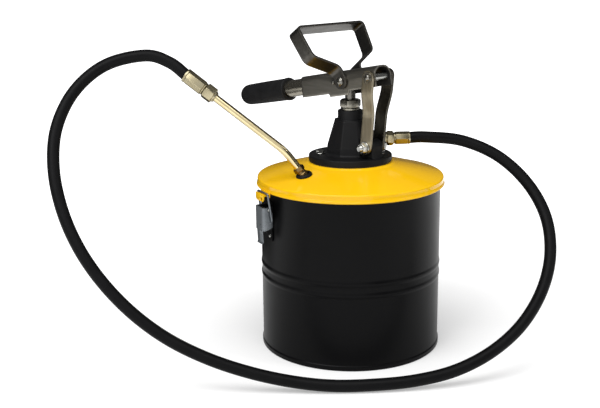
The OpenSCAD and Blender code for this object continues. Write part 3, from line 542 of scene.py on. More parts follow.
def coated(name, skin, specular, *values):
    return finish(name, skin, *values, Specular_IOR_Level=specular)


def plated(name, *values, metallic=1.0):
    return finish(name, PLATED_SKIN, *values, Metallic=metallic)


def drawn(name, *values):
    return finish(name, DRAWN_STEEL, *values, Metallic=1.0)


# Each finish: two tones, the grain's scale and depth, and the smooth and rough ends of its gloss
UNTURNED, ALONG_LEVER, ALONG_LINK = (0, 0, 0), (0, LEVER_SLOPE, 0), (0, -4, 0)
SLOT_FINISH = {
    "bucket_paint": coated("satin_black_paint", PAINT_FILM, 0.08, (7, 7, 8), (10, 10, 11), 700, 0.05, 0.3, 0.38),
    "lid_paint": coated(
        "glossy_yellow_paint", PAINT_FILM, 0.26, (246, 192, 16), (242, 186, 14), 600, 0.03, 0.1, 0.15),
    "head_paint": coated(
        "black_paint_on_casting", PAINT_FILM, 0.12, (17, 17, 18), (24, 24, 25), 420, 0.22, 0.36, 0.48),
    "lever_steel": drawn(
        "satin_grey_steel", (140, 137, 129), (116, 113, 105), 160, 0.12, 0.3, 0.42, ALONG_LEVER, (6, 60, 60)),
    "tube_steel": drawn(
        "drawn_lever_tube", (168, 163, 150), (142, 137, 124), 130, 0.04, 0.22, 0.3, ALONG_LEVER, (5, 70, 70)),
    "link_steel": drawn(
        "flat_link_steel", (144, 136, 117), (118, 110, 93), 150, 0.12, 0.3, 0.4, ALONG_LINK, (50, 50, 8)),
    "zinc": plated("bright_zinc", (178, 178, 174), (158, 158, 153), 900, 0.06, 0.18, 0.26),
    "yellow_zinc": plated("yellow_zinc", (168, 160, 134), (158, 148, 119), 900, 0.06, 0.26, 0.34),
    "latch_zinc": plated(
        "dull_latch_zinc", (116, 121, 125), (98, 103, 107), 700, 0.06, 0.24, 0.34, metallic=0.55),
    "rod_steel": drawn(
        "ground_rod_steel", (98, 96, 92), (104, 102, 97), 120, 0.05, 0.2, 0.28, UNTURNED, (40, 40, 10)),
    "barrel_steel": plated("plain_inner_steel", (150, 152, 152), (128, 130, 130), 500, 0.1, 0.3, 0.42),
    "grip_rubber": coated(
        "matte_grip_rubber", RUBBER_SKIN, 0.16, (20, 20, 21), (27, 27, 28), 900, 0.3, 0.48, 0.6),
    "hose_rubber": coated(
        "hose_cover_rubber", RUBBER_SKIN, 0.08, (12, 12, 13), (17, 17, 18), 1100, 0.18, 0.38, 0.5),
    "seal_rubber": finish("black_seal_rubber", RUBBER_SKIN, (30, 30, 30), (36, 36, 36), 900, 0.2, 0.6, 0.7),
    "packing": finish("greased_packing", RUBBER_SKIN, (196, 180, 140), (180, 160, 118), 900, 0.4, 0.6, 0.8),
}
handle_steel = drawn("bent_grey_strip", (90, 88, 84), (72, 70, 66), 150, 0.12, 0.28, 0.4, UNTURNED, (40, 8, 40))
# A darker copy of the link steel: a painted shade for the far link
dark_link_steel = drawn(
    "dark_link_steel", (82, 79, 71), (64, 61, 55), 150, 0.12, 0.32, 0.42, ALONG_LINK, (50, 50, 8))
# A brighter finish for the eased edges of the channel, links and handle
bright_edge_coat = plated("worn_bright_edge", (176, 171, 158), (142, 137, 125), 500, 0.08, 0.3, 0.42)
dull_nickel = plated("dull_nickel", (140, 137, 127), (120, 117, 107), 700, 0.08, 0.22, 0.3)
dark_brass = plated("dark_brass", (120, 98, 62), (88, 70, 44), 600, 0.1, 0.2, 0.32)
# Painted shade for the faces inside the lever's channel
channel_painted_shade = coated("dark_oxide_inside", PLATED_SKIN, 0.2, (38, 37, 35), (26, 25, 24), 500, 0.2, 0.5, 0.62)
pin_steel = plated("turned_pin_steel", (136, 134, 128), (108, 106, 100), 600, 0.08, 0.2, 0.3)
gold_tube = plated("polished_gold_zinc", (214, 200, 160), (202, 186, 144), 700, 0.03, 0.1, 0.15)

for part in frame["record"]["subparts"]:
    solid = NODES[part["node"]]
    solid.data.materials.clear()
    solid.data.materials.append(SLOT_FINISH[part["material_slot"]])


# Camera at the photograph's place, in the frame turned an eighth round the bucket

def photo_camera():
    yaw, pitch, roll = -0.0508, 0.2517, -0.0116
    back, height, lens, sensor = 1.3, 0.5201, 61.2, 36
    ahead = Vector((sin(yaw) * cos(pitch), cos(yaw) * cos(pitch), -sin(pitch)))
    right = Vector((cos(yaw), -sin(yaw), 0))
    up = right.cross(ahead)
    across = cos(roll) * right + sin(roll) * up
    upward = -sin(roll) * right + cos(roll) * up
    axes = Matrix((across, upward, -ahead)).transposed().to_4x4()
    data = bpy.data.cameras.new("photo_camera")
    data.sensor_width = sensor
    data.lens = lens
    data.clip_end = 100
    scene.camera = placed("photo_camera", data)
    scene.camera.matrix_world = turn(45, "Z") @ shift(0, -back, height) @ axes


photo_camera()


# Hose, and the fittings and tube at its far end

def crimped_ferrule(place, radius, z0, z1, tail):
    """A pressed sleeve with eight flats, a collar at its inner end and a flared lip where the hose enters."""
    lip_r, bore = HOSE_R + 0.1, 3
    lip = beside(radius, z0, (-0.3, -tail), (0, -tail * 0.7), (0, -tail * 0.2), (-0.6, 0.2))
    lip = [(lip_r, z0 - tail)] + lip + [(lip_r, z0 + 0.2)]
    collar = beside(radius, z1, (-1.6, -0.2), (-1.0, 0.6), (-1.0, 1.6), (-1.6, 2.2))
    collar = [(bore, z1 - 0.2)] + collar + [(bore, z1 + 2.2)]
    sleeve = hexagon_bar(2 * radius - 1.0, z0, z1, bore, place, chamfer=0.95, per_side=6, sides=8)
    return [sleeve, turned(lip, place, 64), turned(collar, place, 64)]


hose_line = smooth_route(HOSE_ROUTE, 8)
hose = round_bar("hose_cover", hose_line, HOSE_R, 32, "hose_rubber", ["hose"])

at_near = AT_OUTLET @ shift(0, 0, OUTLET_REACH) @ turn(180, "X")
at_far = along(EXT_START, EXT_DIR)
at_foot = along(SOCKET, EXT_FOOT)
tube_way_r, nut_z = EXT_R + 0.1, FERRULE_L + 0.4
near_ferrule = piece("near_hose_ferrule", crimped_ferrule(at_near, FERRULE_R, z0=3, z1=19.6, tail=2.5),
                     "yellow_zinc", ["hose_ferrule_near"], bevel=0.25)
far_ferrule = piece("far_hose_ferrule", crimped_ferrule(at_far, FAR_FERRULE_R, z0=3, z1=27.5, tail=3),
                    "yellow_zinc", ["hose_ferrule_far"], bevel=0.25)
nut_cone = beside(0, FERRULE_L, (tube_way_r, 13.7), (7.4, 13.7), (7.0, 15.6), (6.0, 17), (tube_way_r, 17))
far_nut = piece("far_tube_nut", [hexagon_bar(18.2, nut_z, FERRULE_L + 14, tube_way_r, at_far, 0.95),
                                 turned(nut_cone, at_far, 48)],
                "yellow_zinc", ["tube_nut"], bevel=0.25)
ext_ends = EXT_START + (FERRULE_L + 2.1) * EXT_DIR, SOCKET - 10 * EXT_FOOT
ext_line = rounded([ext_ends[0], EXT_BEND, ext_ends[1]], reach=11, steps=14)
round_bar("bent_extension_tube", ext_line, EXT_R, 40, "yellow_zinc", ["extension_tube"], coat=gold_tube)
coupler_edge = [(EXT_R - 1, -8.2), (5.6, -8.2), (5.6, -5.4), (6.4, -4.6), (6.4, 11), (5.4, 12), (EXT_R - 1, 12)]
piece("tube_end_coupler", [hexagon_bar(12.6, -14, -8, tube_way_r, at_foot, 0.94),
                           turned(coupler_edge, at_foot, 48)],
      "yellow_zinc", ["tube_coupler"], coat=dark_brass, bevel=0.25)


# Bucket and lid

def bead(z, r, steps=14):
    line = []
    for i in range(steps + 1):
        s = 2 * i / steps - 1
        line.append((r + BEAD_OUT * (1 + cos(pi * s)) / 2, z + s * BEAD_W / 2))
    return line


def bucket_shell():
    """The outer wall from the bottom seam over both beads to the curl, and back down inside."""
    inner_r = BUCKET_R - SHEET
    seam = beside(BUCKET_R, 0, (0.6, 0), (1.1, 0.5), (1.2, 1.2), (1.2, 4.9), (1.05, 5.6), (0.6, 6.1), (0.2, 6.6))
    outer = [(inner_r, 0.6), (inner_r + 0.5, 0)] + seam + [(BUCKET_R, 7.4)]
    outer += bead(BEADS[0], BUCKET_R) + bead(BEADS[1], BUCKET_R) + [(BUCKET_R, BUCKET_H - 5)]
    curl = arc((BUCKET_R + 0.4, BUCKET_H - 2), 1.8, -80, 180, 16)
    inner = [p for z in reversed(BEADS) for p in reversed(bead(z, inner_r))]
    return turned(outer + curl + [(inner_r, BUCKET_H - 4)] + inner, steps=224)


def lid_shell():
    """The lid's top, the hollow round the flange, the crowned cone, the shoulder, the skirt and its rolled rim."""
    corner = (LID_R - LID_CORNER, LID_SHOULDER - LID_CORNER)
    bend, lean = 2.6, radians(SHOULDER_TURN)
    bend_at = (LID_R - bend, corner[1] + (LID_CORNER - bend) * (1 - cos(lean)) / sin(lean))
    crown, crown_start, crown_l = 0.25, 66, 47
    top = [(BARREL_WAY_R, LID_TOP), (LID_FLAT - 1.5, LID_TOP)] + arc((LID_FLAT - 1.5, LID_TOP - 2), 2, 80, 30, 4)
    hollow = beside(LID_FLAT, LID_TOP, (1.0, -1.55), (1.9, -2.0), (3.2, -2.35))
    hollow += beside(LID_STEP_R, LID_CONE_Z, (1.5, -0.35), (5, -5 * LID_SLOPE))
    cone = [(r, LID_CONE_Z - (r - LID_STEP_R) * LID_SLOPE
             + crown * sin(pi * (r - crown_start) / crown_l)) for r in range(72, 113, 5)]
    outer = top + hollow + cone + arc(bend_at, bend, SHOULDER_TURN, 0, 12)
    outer += beside(LID_R, SKIRT_Z, (0, 6), (0.15, 5.1), (0.7, 4.5))
    outer += arc((LID_R + RIM_OUT - 1.2, SKIRT_Z + 2.6), 1.2, 60, -100, 10)
    inner = [(LID_R - SHEET, SKIRT_Z + 1)] + arc(corner, LID_CORNER - SHEET, 0, SHOULDER_TURN, 8)
    inner += [(LID_STEP_R, LID_CONE_Z - SHEET), (LID_FLAT, LID_TOP - SHEET), (BARREL_WAY_R, LID_TOP - SHEET)]
    return turned(outer + inner, steps=224)


def lid_socket():
    """Ring that stands square to the lid's slope and holds the tube's end."""
    outward = Vector((SOCKET.x, SOCKET.y, 0)).normalized()
    rim = [(6.7, -1), (10.4, -1), (10.5, 0.4), (10.2, 2.2), (9.2, 3.4), (8.0, 3.8), (6.9, 3.4)]
    return turned(rim, along(SOCKET, (Vector((0, 0, 1)) + LID_SLOPE * outward).normalized()), 64)


piece("bucket_shell", [bucket_shell()], "bucket_paint", ["bucket_body"])
piece("lid_shell", [lid_shell()], "lid_paint", ["lid"], crease=50)
piece("lid_socket_ring", [lid_socket()], "head_paint", ["lid_socket"])


# Cast pump head

def octagon_ring(hw, corner, z, per_corner=5):
    """Eight flats with rounded corners, flats square to X and Y."""
    ring = []
    far = (hw - corner) / cos(radians(22.5))
    for k in range(8):
        mid = radians(45 * k + 22.5)
        cx, cy = far * cos(mid), far * sin(mid)
        for i in range(per_corner):
            a = radians(45 * k + 45 * i / (per_corner - 1))
            ring.append((cx + corner * cos(a), cy + corner * sin(a), z))
    return ring


def round_ring(r, z, per_corner=5):
    """A circle whose points lie beside those of an eight-sided ring."""
    return [polar(r, radians(45 * k + 45 * (i + 0.5) / per_corner), z)
            for k in range(8) for i in range(per_corner)]


def pump_head():
    """Flange, eight-sided foot and taper, round neck and the boss for the outlet."""
    way, edge, rod_way = BARREL_WAY_R, 1.6, ROD_R + 0.3
    flange = [(way, FLANGE_Z)] + beside(FLANGE_R, FLANGE_Z, (-0.8, 0), (0, 0.8)) + [(FLANGE_R, FLANGE_TOP - edge)]
    flange += arc((FLANGE_R - edge, FLANGE_TOP - edge), edge, 15, 90, 5) + [(36, FLANGE_TOP), (way, FLANGE_TOP)]
    levels = beside(FOOT_HW, FLANGE_TOP, (4.2, -0.3), (2.6, 0.25), (1.3, 1.0), (0.5, 2.1), (0, 3.8))
    levels += beside(FOOT_HW, FOOT_TOP, (0, -1.2), (-0.15, 0), (-0.6, 1.2))
    slope = (FOOT_HW - TAPER_HW) / (TAPER_TOP - FOOT_TOP)
    levels += [(FOOT_HW - slope * (z - FOOT_TOP) - 0.2, z) for z in (270, 280, 290, TAPER_TOP - 2.4)]
    levels += beside(TAPER_HW, TAPER_TOP, (0.2, -1.0), (-0.3, -0.25), (-1.2, 0))
    rings = [octagon_ring(hw, HEAD_CORNER, z) for hw, z in levels]
    rings += [round_ring(rod_way, TAPER_TOP), round_ring(rod_way, FLANGE_TOP - 0.3)]
    neck = [(NECK_BORE_R, TAPER_TOP - 0.4)] + beside(NECK_R, TAPER_TOP, (0.7, -0.4), (0.2, 0.4), (0, 1.2))
    neck += beside(NECK_R, NECK_TOP, (0, -1.2), (-0.4, -0.4), (-1.2, 0)) + [(NECK_BORE_R, NECK_TOP)]
    boss = [(OUTLET_BORE_R, 12), (12.5, 12), (12.5, 27), (11.6, 29), (11.1, 30.5), (11, 34.6), (10.6, 35.6)]
    boss += [(9.8, 36), (OUTLET_BORE_R, 36)]
    return [turned(flange, steps=128), joined(rings), turned(neck, steps=96), turned(boss, AT_OUTLET, 64)]


def head_lug():
    root = 22
    edge = [(root, FLANGE_TOP - 0.5), (LUG_X + LUG_R + 1.5, FLANGE_TOP - 0.5), (LUG_X + LUG_R, FLANGE_TOP + 3)]
    return plate(edge + arc((LUG_X, LUG_Z), LUG_R, 0, 90, 16) + [(root, LUG_Z + LUG_R)], -LUG_T / 2, LUG_T / 2)


piece("head_casting", pump_head(), "head_paint", ["pump_head"], crease=32)
piece("head_lug", [head_lug()], "head_paint", cuts=[drill(PIN_R + 0.08, -20, 20, AT_BOLT)],
      bevel=1.0, segments=3)


# Flange screws, gland nut and its lock ring

screw_washer = [(0, -0.6), (6.2, -0.6), (6.4, 0.5), (6.1, 0.9), (0, 0.9)]
screw = [turned(screw_washer, steps=40), hexagon_bar(9.6, 0.9, 4.0, 0, chamfer=0.93, per_side=6)]
screw_spots = [(polar(SCREW_CIRCLE_R, radians(a), FLANGE_TOP), (0, 0, 1)) for a in SCREW_BEARINGS]
fasteners("flange_screws_and_washers", screw, screw_spots, "zinc", ["flange_screws"])

lock_ring = [(ROD_R + 4, NECK_TOP), (11.8, NECK_TOP), (12.4, NECK_TOP + 0.6), (12.4, GLAND_RING_TOP - 0.7),
             (11.8, GLAND_RING_TOP), (ROD_R + 4, GLAND_RING_TOP)]
piece("gland_lock_ring_turned", [turned(lock_ring, steps=72)], "zinc", ["gland_lock_ring"], coat=dull_nickel)
gland_stem = [(ROD_R + 0.1, 307), (9.5, 307), (9.5, GLAND_NUT_Z + 0.2), (ROD_R + 0.1, GLAND_NUT_Z + 0.2)]
piece("gland_nut_hex", [
    hexagon_bar(GLAND_NUT_AF, GLAND_NUT_Z, GLAND_NUT_TOP, ROD_R + 0.08, chamfer=0.94, per_side=12),
    turned(gland_stem, steps=64)], "zinc", ["gland_nut"], coat=dull_nickel, bevel=0.3)


# Links with their bolt, washers, pins and spacer

def link_bar(side):
    """A flat bar with round ends, cranked outwards between the lug and the lever."""
    rows = []
    r = LINK_W / 2
    low = round_end(r, 91)
    high = [(LINK_L - z, hw) for z, hw in reversed(low)]
    middle = [(z, r) for z in range(3, int(LINK_L) - 1, 3)]
    for z, hw in low + middle + high:
        crank = ease(z, CRANK_START, CRANK_START + CRANK_L)
        y = LINK_LOW_Y + (LINK_TOP_Y - LINK_LOW_Y) * crank + LINK_T / 2
        rows.append([(hw * (i / 4 - 1), side * y, z) for i in range(9)])
    return sheet_rows(rows, AT_LINKS)


# The far link gets the darker copy, a painted shade for the shadow of the near link and channel on it
for label, side, coat in (("near", -1, None), ("far", 1, dark_link_steel)):
    piece("cranked_link_" + label, [link_bar(side)], "link_steel", ["link_" + label], "links", coat=coat,
          thick=LINK_T, bevel=0.7, edge_coat=bright_edge_coat, crease=30)


def threaded_end(z0, z1, r):
    """Bolt shank whose last stretch carries the ridges of a thread, with a chamfered end at z0."""
    lead, pitch, threaded = 0.9, 1.25, 9
    edge = [(0, z0), (r - lead, z0), (r, z0 + lead)]
    z = z0 + lead
    while z < z0 + threaded:
        edge += [(r, z + 0.2), (r - 0.45, z + 0.6), (r, z + 1.0)]
        z += pitch
    return edge + [(r, z1), (0, z1)]


LOW_OUT = LINK_LOW_Y + LINK_T
TOP_OUT = LINK_TOP_Y + LINK_T
FREE_R = PIN_R + 0.1
at_bolt_hex = AT_BOLT @ turn(30, "Z")
piece("link_bolt_turned", [turned(threaded_end(-LOW_OUT - 11.1, LOW_OUT + 2, PIN_R), AT_BOLT, 40),
                           hexagon_bar(NUT_AF, LOW_OUT + WASHER_T, LOW_OUT + 6.9, 0, at_bolt_hex, 0.94)],
      "zinc", ["link_bolt"], "links")
piece("link_nut_hex", [hexagon_bar(NUT_AF, -LOW_OUT - 8.1, -LOW_OUT - WASHER_T, FREE_R, at_bolt_hex, 0.92)],
      "zinc", ["link_nut"], "links", bevel=0.2)
washer = eased_ring(FREE_R, WASHER_R, 0, WASHER_T, 0.3)
thin_washer = [(r, z * 0.5) for r, z in washer]
washer_places = ((washer, AT_BOLT, LOW_OUT), (washer, AT_BOLT, -LOW_OUT - WASHER_T),
                 (thin_washer, AT_TOP_PIN, CHANNEL_HW + 0.4), (thin_washer, AT_TOP_PIN, -LINK_TOP_Y))
piece("link_washers_turned", [turned(edge, pin @ shift(0, 0, z), 48) for edge, pin, z in washer_places],
      "zinc", ["link_washers"], "links")
pin_edge = beside(0, -TOP_OUT, (0, -2.6), (2.6, -2.4), (PIN_R - 0.4, -1.8), (PIN_R, -1.2), (PIN_R, -0.9),
                  (6.8, -0.9), (7, -0.6), (7, 0), (PIN_R, 0))
piece("link_top_pin_turned", [turned(pin_edge + [(r, -z) for r, z in reversed(pin_edge)], AT_TOP_PIN, 48)],
      "zinc", ["link_top_pin"], "links", coat=pin_steel)
spacer = eased_ring(FREE_R, 5.2, -SPACER_HL, SPACER_HL, 0.3)
piece("link_spacer_turned", [turned(spacer, AT_TOP_PIN, 48)], "zinc", ["link_spacer"], "links")


# Lever: channel, end plate, tube and grip

def channel_section(low, r):
    """The middle line of the channel's sheet in Y and Z, from one lower edge over the arch to the other."""
    hw, top = CHANNEL_HW - CHANNEL_T / 2, CHANNEL_TOP - CHANNEL_T / 2
    left = [(-hw, low + (top - r - low) * i / 6) for i in range(6)]
    line = left + arc((-hw + r, top - r), r, 180, 90, 12) + arc((hw - r, top - r), r, 90, 0, 12)
    return line + [(-y, z) for y, z in reversed(left)]


def lever_channel():
    """Deep walls at the rod, shallower ones behind it, and a squarer section towards the tube."""
    rows = []
    spots = [-CHANNEL_FRONT + 2.7 * i for i in range(18)] + [STEP_X - 1.4 + 0.4 * i for i in range(8)]
    spots += [-22.5 + 3 * i for i in range(10)] + [LOBE_END - 2.5 + 0.5 * i for i in range(6)]
    spots += [LOBE_END + 3 * i + 3 for i in range(16)] + [CHANNEL_REAR]
    for x in spots:
        low = FRONT_LOW + (LOBE_LOW - FRONT_LOW) * ease(x, STEP_X - 1.2, STEP_X + 1.2)
        low -= (LOBE_LOW - CHANNEL_LOW) * ease(x, LOBE_END - 2.5, LOBE_END)
        rows.append([(x, y, z) for y, z in channel_section(-low, 5 + 7 * ease(x, -48, -14))])
    return sheet_rows(rows, AT_LEVER)


def end_plate():
    """Plate that closes the channel round the tube."""
    hw, r, low, top = CHANNEL_HW - 2.05, 4.0, -FRONT_LOW + 0.3, CHANNEL_TOP - 2.1
    over = arc((-hw + r, top - r), r, 180, 90, 8) + arc((hw - r, top - r), r, 90, 0, 8)
    at_front = AT_LEVER @ shift(-CHANNEL_FRONT + 3.4, 0, 0) @ turn(90, "Z")
    return plate([(-hw, low)] + over + [(hw, low)], 0, 3, at_front)


def grip():
    """A moulded sleeve with a thin rim at its mouth, a slight taper and a full round end."""
    end_r, end_l, plug = 14.35, 14.5, 5
    edge = [(TUBE_R + 0.1, 0), (14.6, 0), (15.2, 0.3), (15.55, 1.0), (15.6, 2.2), (15.5, 3.4), (15.2, 4.4)]
    edge += [(14.95, 5.2), (14.9, 6.5), (14.95, 20), (14.9, 40), (14.75, 60), (14.5, 76)]
    for a in range(0, 86, 6):
        c, w = cos(radians(a)), sin(radians(a))
        edge.append((end_r * c ** 0.72, GRIP_L - end_l + end_l * w ** 0.9))
    return turned(edge + [(0, GRIP_L), (0, GRIP_L - plug), (TUBE_R + 0.1, GRIP_L - plug)],
                  AT_LEVER @ shift(-GRIP_START, 0, 0) @ ALONG_GRIP, 96)


channel = piece("lever_channel_sheet", [lever_channel()], "lever_steel", ["lever_channel"], "lever",
                thick=CHANNEL_T, cuts=[drill(FREE_R, -40, 40, AT_LEVER @ shift(LINK_PIN_X, 0, 0) @ ALONG_Y)],
                bevel=0.55, crease=30, edge_coat=bright_edge_coat)
# The faces that look towards the channel's middle line get a painted shade, dark as the shade inside the arch
channel.data.materials.append(channel_painted_shade)
from_lever = AT_LEVER.inverted()
middle_z = -2
for face in channel.data.polygons:
    spot, facing = from_lever @ (face.center / MM), from_lever.to_3x3() @ face.normal
    inward = spot.y * facing.y + (spot.z - middle_z) * facing.z < 0
    if face.material_index == 0 and abs(facing.x) < 0.5 and inward:
        face.material_index = 2
piece("lever_end_plate", [end_plate()], "lever_steel", body="lever",
      cuts=[drill(TUBE_R - 0.2, -90, -60, AT_LEVER @ turn(90, "Y"), 64)], bevel=0.4)
tube_edge = eased_ring(TUBE_R - 2, TUBE_R, TUBE_START, TUBE_END, 0.4)
piece("lever_tube_drawn", [turned(tube_edge, AT_LEVER @ ALONG_GRIP, 72)], "tube_steel", ["lever_tube"], "lever")
piece("lever_grip_moulded", [grip()], "grip_rubber", ["lever_grip"], "lever", crease=50)

# Rod pin with its retaining ring, and the stop rivets beside the handle's tabs
PIN_OUT = CHANNEL_HW + 0.4 + STRIP_T + 0.4
near_end = beside(0, -PIN_OUT, (0, -2.9), (2.2, -2.8), (3.2, -2.5), (PIN_R, -1.9)) + [(PIN_R, PIN_OUT + 2)]
piece("rod_pin_turned", [turned(near_end + [(0, PIN_OUT + 2)], AT_ROD_PIN, 40),
                         hexagon_bar(NUT_AF, PIN_OUT, PIN_OUT + 5.3, 0, AT_ROD_PIN @ turn(30, "Z"), 0.94)],
      "zinc", ["rod_pin"], "lever", coat=pin_steel)
ring_r = PIN_R + 1.9
ring_edge = beside(ring_r, -PIN_OUT, (-0.9, -2), (-0.2, -1.5), (0, -0.9), (0, 0))
ring_edge = [(FREE_R, -PIN_OUT - 2)] + ring_edge + [(FREE_R, -PIN_OUT)]
piece("rod_pin_ring_turned", [turned(ring_edge, AT_ROD_PIN, 40)], "zinc", ["rod_pin_nut"], "lever", coat=pin_steel)
stop_edge = [(0, -2), (1.3, -2), (1.3, 0), (2.6, 0), (2.6, 2.6), (2.2, 3.6), (1.3, 4.1), (0, 4.2)]
stop_spots = [(AT_LEVER @ Vector((STOP_X, s * CHANNEL_HW, 0)), (0, s, 0)) for s in (-1, 1)]
fasteners("handle_stop_rivets", [turned(stop_edge, steps=28)], stop_spots, "zinc",
          ["handle_stops"], "lever", coat=pin_steel)


# Carry handle: one strip bent from tab to tab

def carry_handle():
    half = [(TAB_Y, 0), (TAB_Y, 17), (HANDLE_LOW_HW, 35), (HANDLE_HW, HANDLE_REACH)]
    bent = rounded(half + [(-y, t) for y, t in reversed(half)], reach=6.5, steps=8)
    tab = round_end(STRIP_W / 2, 90)
    line = [(TAB_Y, t, hw) for t, hw in tab] + [(p.x, p.y, STRIP_W / 2) for p in bent]
    line += [(-TAB_Y, t, hw) for t, hw in reversed(tab)]
    return sheet_rows([[(hw * (i / 3 - 1), y, t) for i in range(7)] for y, t, hw in line], AT_HANDLE)


piece("carry_handle_strip", [carry_handle()], "lever_steel", ["carry_handle"], "handle", coat=handle_steel,
      edge_coat=bright_edge_coat, thick=STRIP_T, cuts=[drill(FREE_R, -40, 40, AT_HANDLE @ ALONG_Y)], bevel=0.6, crease=30)


# Outlet fittings, and the spring behind the outlet ball

piece("outlet_adapter_hex", [
    turned([(4.3, 29.9), (6.5, 29.9), (6.5, 37), (4.3, 37)], AT_OUTLET, 48),
    hexagon_bar(19, 36.1, 46, 3, AT_OUTLET, 0.93),
    turned([(3, 45.8), (8, 45.8), (8, 47.2), (3, 47.2)], AT_OUTLET, 48)],
    "yellow_zinc", ["outlet_adapter"], bevel=0.25)
piece("outlet_swivel_nut", [hexagon_bar(17, 47.2, 56, 3, AT_OUTLET, 0.92)], "yellow_zinc",
      ["outlet_nut"], bevel=0.25)

per_turn = 24
coil_line = []
for i in range(per_turn * SPRING_TURNS + 1):
    rise = (SPRING_END - SPRING_START) * i / (per_turn * SPRING_TURNS)
    coil_line.append(AT_OUTLET @ polar(SPRING_R, 2 * pi * i / per_turn, SPRING_START + rise))
spring = round_bar("outlet_spring_coil", coil_line, SPRING_WIRE_R, 8, "rod_steel", ["outlet_spring"])
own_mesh(spring)


# Latches, each in a place turned to its bearing: X outwards, Z up

def latch_lever(place):
    """Pressed lever: a face with two flanges, rounded along their bends and tapered at both ends."""
    rows = []
    low_taper, low_rise, high_start, high_rise = 10.2, 3.5, 190, 3.9
    bend_r, bend_y = LATCH_FACE_R - LATCH_BEND, LATCH_BEND - LATCH_HW
    for i in range(25):
        z = LATCH_LOW + (LATCH_HIGH - LATCH_LOW) * i / 24
        inner = LATCH_WALL_R
        if z < LATCH_LOW + low_rise:
            inner += low_taper - low_taper * (z - LATCH_LOW) / low_rise
        elif z >= high_start:
            inner += high_rise * (z - high_start) / (LATCH_HIGH - high_start)
        flange = [(inner + (bend_r - inner) * j / 4, -LATCH_HW) for j in range(5)]
        bend = arc((bend_r, bend_y), LATCH_BEND, -90, 0, 6)
        half = flange + bend[1:] + [(LATCH_FACE_R, y) for y in (-6, -3)]
        rows.append([(r, y, z) for r, y in half + [(LATCH_FACE_R, 0)] + [(r, -y) for r, y in reversed(half)]])
    return sheet_rows(rows, place)


def latch_tab(place):
    """Finger tab below the face, with a shallow press along it and a rolled end."""
    rows = []
    top, length, lean, roll, half_width, press = 171, 19, 1.1, 2.0, 7.5, 0.5
    for i in range(19):
        t = i / 18
        r = LATCH_FACE_R - lean * t + (roll * ((t - 0.86) / 0.14) ** 2 if t > 0.86 else 0)
        hw = half_width if t < 0.9 else half_width - 1.6 * ((t - 0.9) / 0.1) ** 2
        deep = min(1, 6 * t * (1 - t))
        rows.append([(r + (press * cos(pi * j / 6) if abs(j) < 3 else 0) * deep, hw * j / 4,
                      top - length * t) for j in range(-4, 5)])
    return sheet_rows(rows, place)


def latch_cross(place, spot):
    """Along the latch's width, through a pivot."""
    return place @ shift(spot[0], 0, spot[1]) @ ALONG_Y


def bail_line(place):
    stub, out = 9.7, 14.0
    low, high = BAIL_PIVOT, BAIL_TOP
    half = [(low[0], stub, low[1]), (low[0], out, low[1]), (high[0], out, high[1])]
    whole = half + [(r, -y, z) for r, y, z in reversed(half)]
    return [place @ p for p in rounded(whole, reach=2.6, steps=8)]


def keeper(place):
    """Yellow catch on the lid's rim: a ledge that takes the bail, with a lip before it and an apron below."""
    side = [(122.4, 211.5), (124, 211.5), (124, 214), (129.6, 214), (130.6, 212.6), (130.6, 207.0), (132.2, 207.0),
            (132.2, 216.9), (130.6, 216.9), (130.6, 215.6), (124, 215.6), (124, 218.2), (122.4, 218.2)]
    return plate(side, -10.9, 10.9, place)


def keeper_cuts(place):
    """A small hole in the apron, and its two lower corners."""
    hole = drill(1.9, -3, 3, place @ shift(131, 4.5, 209.6) @ turn(90, "Y"), 24)
    corners = [[(7.5 * k, 206), (12 * k, 206), (12 * k, 211)] for k in (-1, 1)]
    return [hole] + [plate(corner, -135, -127, place @ turn(90, "Z")) for corner in corners]


pin_edge = eased_ring(0, 1.6, -12.4, 12.4, 0.4)
rivet_edge = [(0, -1.4), (1.2, -1.4), (1.2, 0), (2.4, 0), (2.3, 0.5), (1.7, 0.95), (0.9, 1.1), (0, 1.15)]
rivet_spots = []
for label, angle in zip("ab", LATCH_ANGLES):
    place = turn(angle, "Z")
    at_pivot = latch_cross(place, LATCH_PIVOT)
    piece("latch_finger_tab_" + label, [latch_tab(place)], "latch_zinc", body="latch_" + label,
          thick=LATCH_SHEET, bevel=0.35)
    piece("latch_lever_pressed_" + label, [latch_lever(place)], "latch_zinc",
          ["latch_lever_" + label], "latch_" + label, thick=LATCH_SHEET, bevel=0.35, crease=30,
          cuts=[drill(1.72, -30, 30, at_pivot, 32), drill(1.42, -30, 30, latch_cross(place, BAIL_PIVOT), 32)])
    round_bar("latch_bail_wire_" + label, bail_line(place), BAIL_R, 16, "latch_zinc",
              ["latch_bail_" + label], "bail_" + label)
    piece("lid_keeper_" + label, [keeper(place)], "lid_paint", ["keeper_" + label],
          cuts=keeper_cuts(place), bevel=0.5)
    piece("latch_pin_turned_" + label, [turned(pin_edge, at_pivot, 28)], "zinc", ["latch_pin_" + label])
    rivet_spots += [(place @ Vector((RIVET_R, 0, z)), place @ Vector((1, 0, 0))) for z in RIVET_HEIGHTS]
fasteners("latch_base_rivets", [turned(rivet_edge, steps=24)], rivet_spots, "zinc", ["latch_rivets"])


# Floor, world and lamps, in metres

def seen_directly(tree):
    """1 for rays from the camera and for rays that metal and glass send on."""
    path = tree.nodes.new("ShaderNodeLightPath").outputs
    first = maths(tree, "MAXIMUM", path["Is Camera Ray"], path["Is Glossy Ray"])
    return maths(tree, "MAXIMUM", first, path["Is Transmission Ray"])


def stage_sheet(name, points, faces, mat):
    mesh = bpy.data.meshes.new(name)
    mesh.from_pydata(points, [], faces)
    mesh.materials.append(mat)
    return placed(name, mesh)


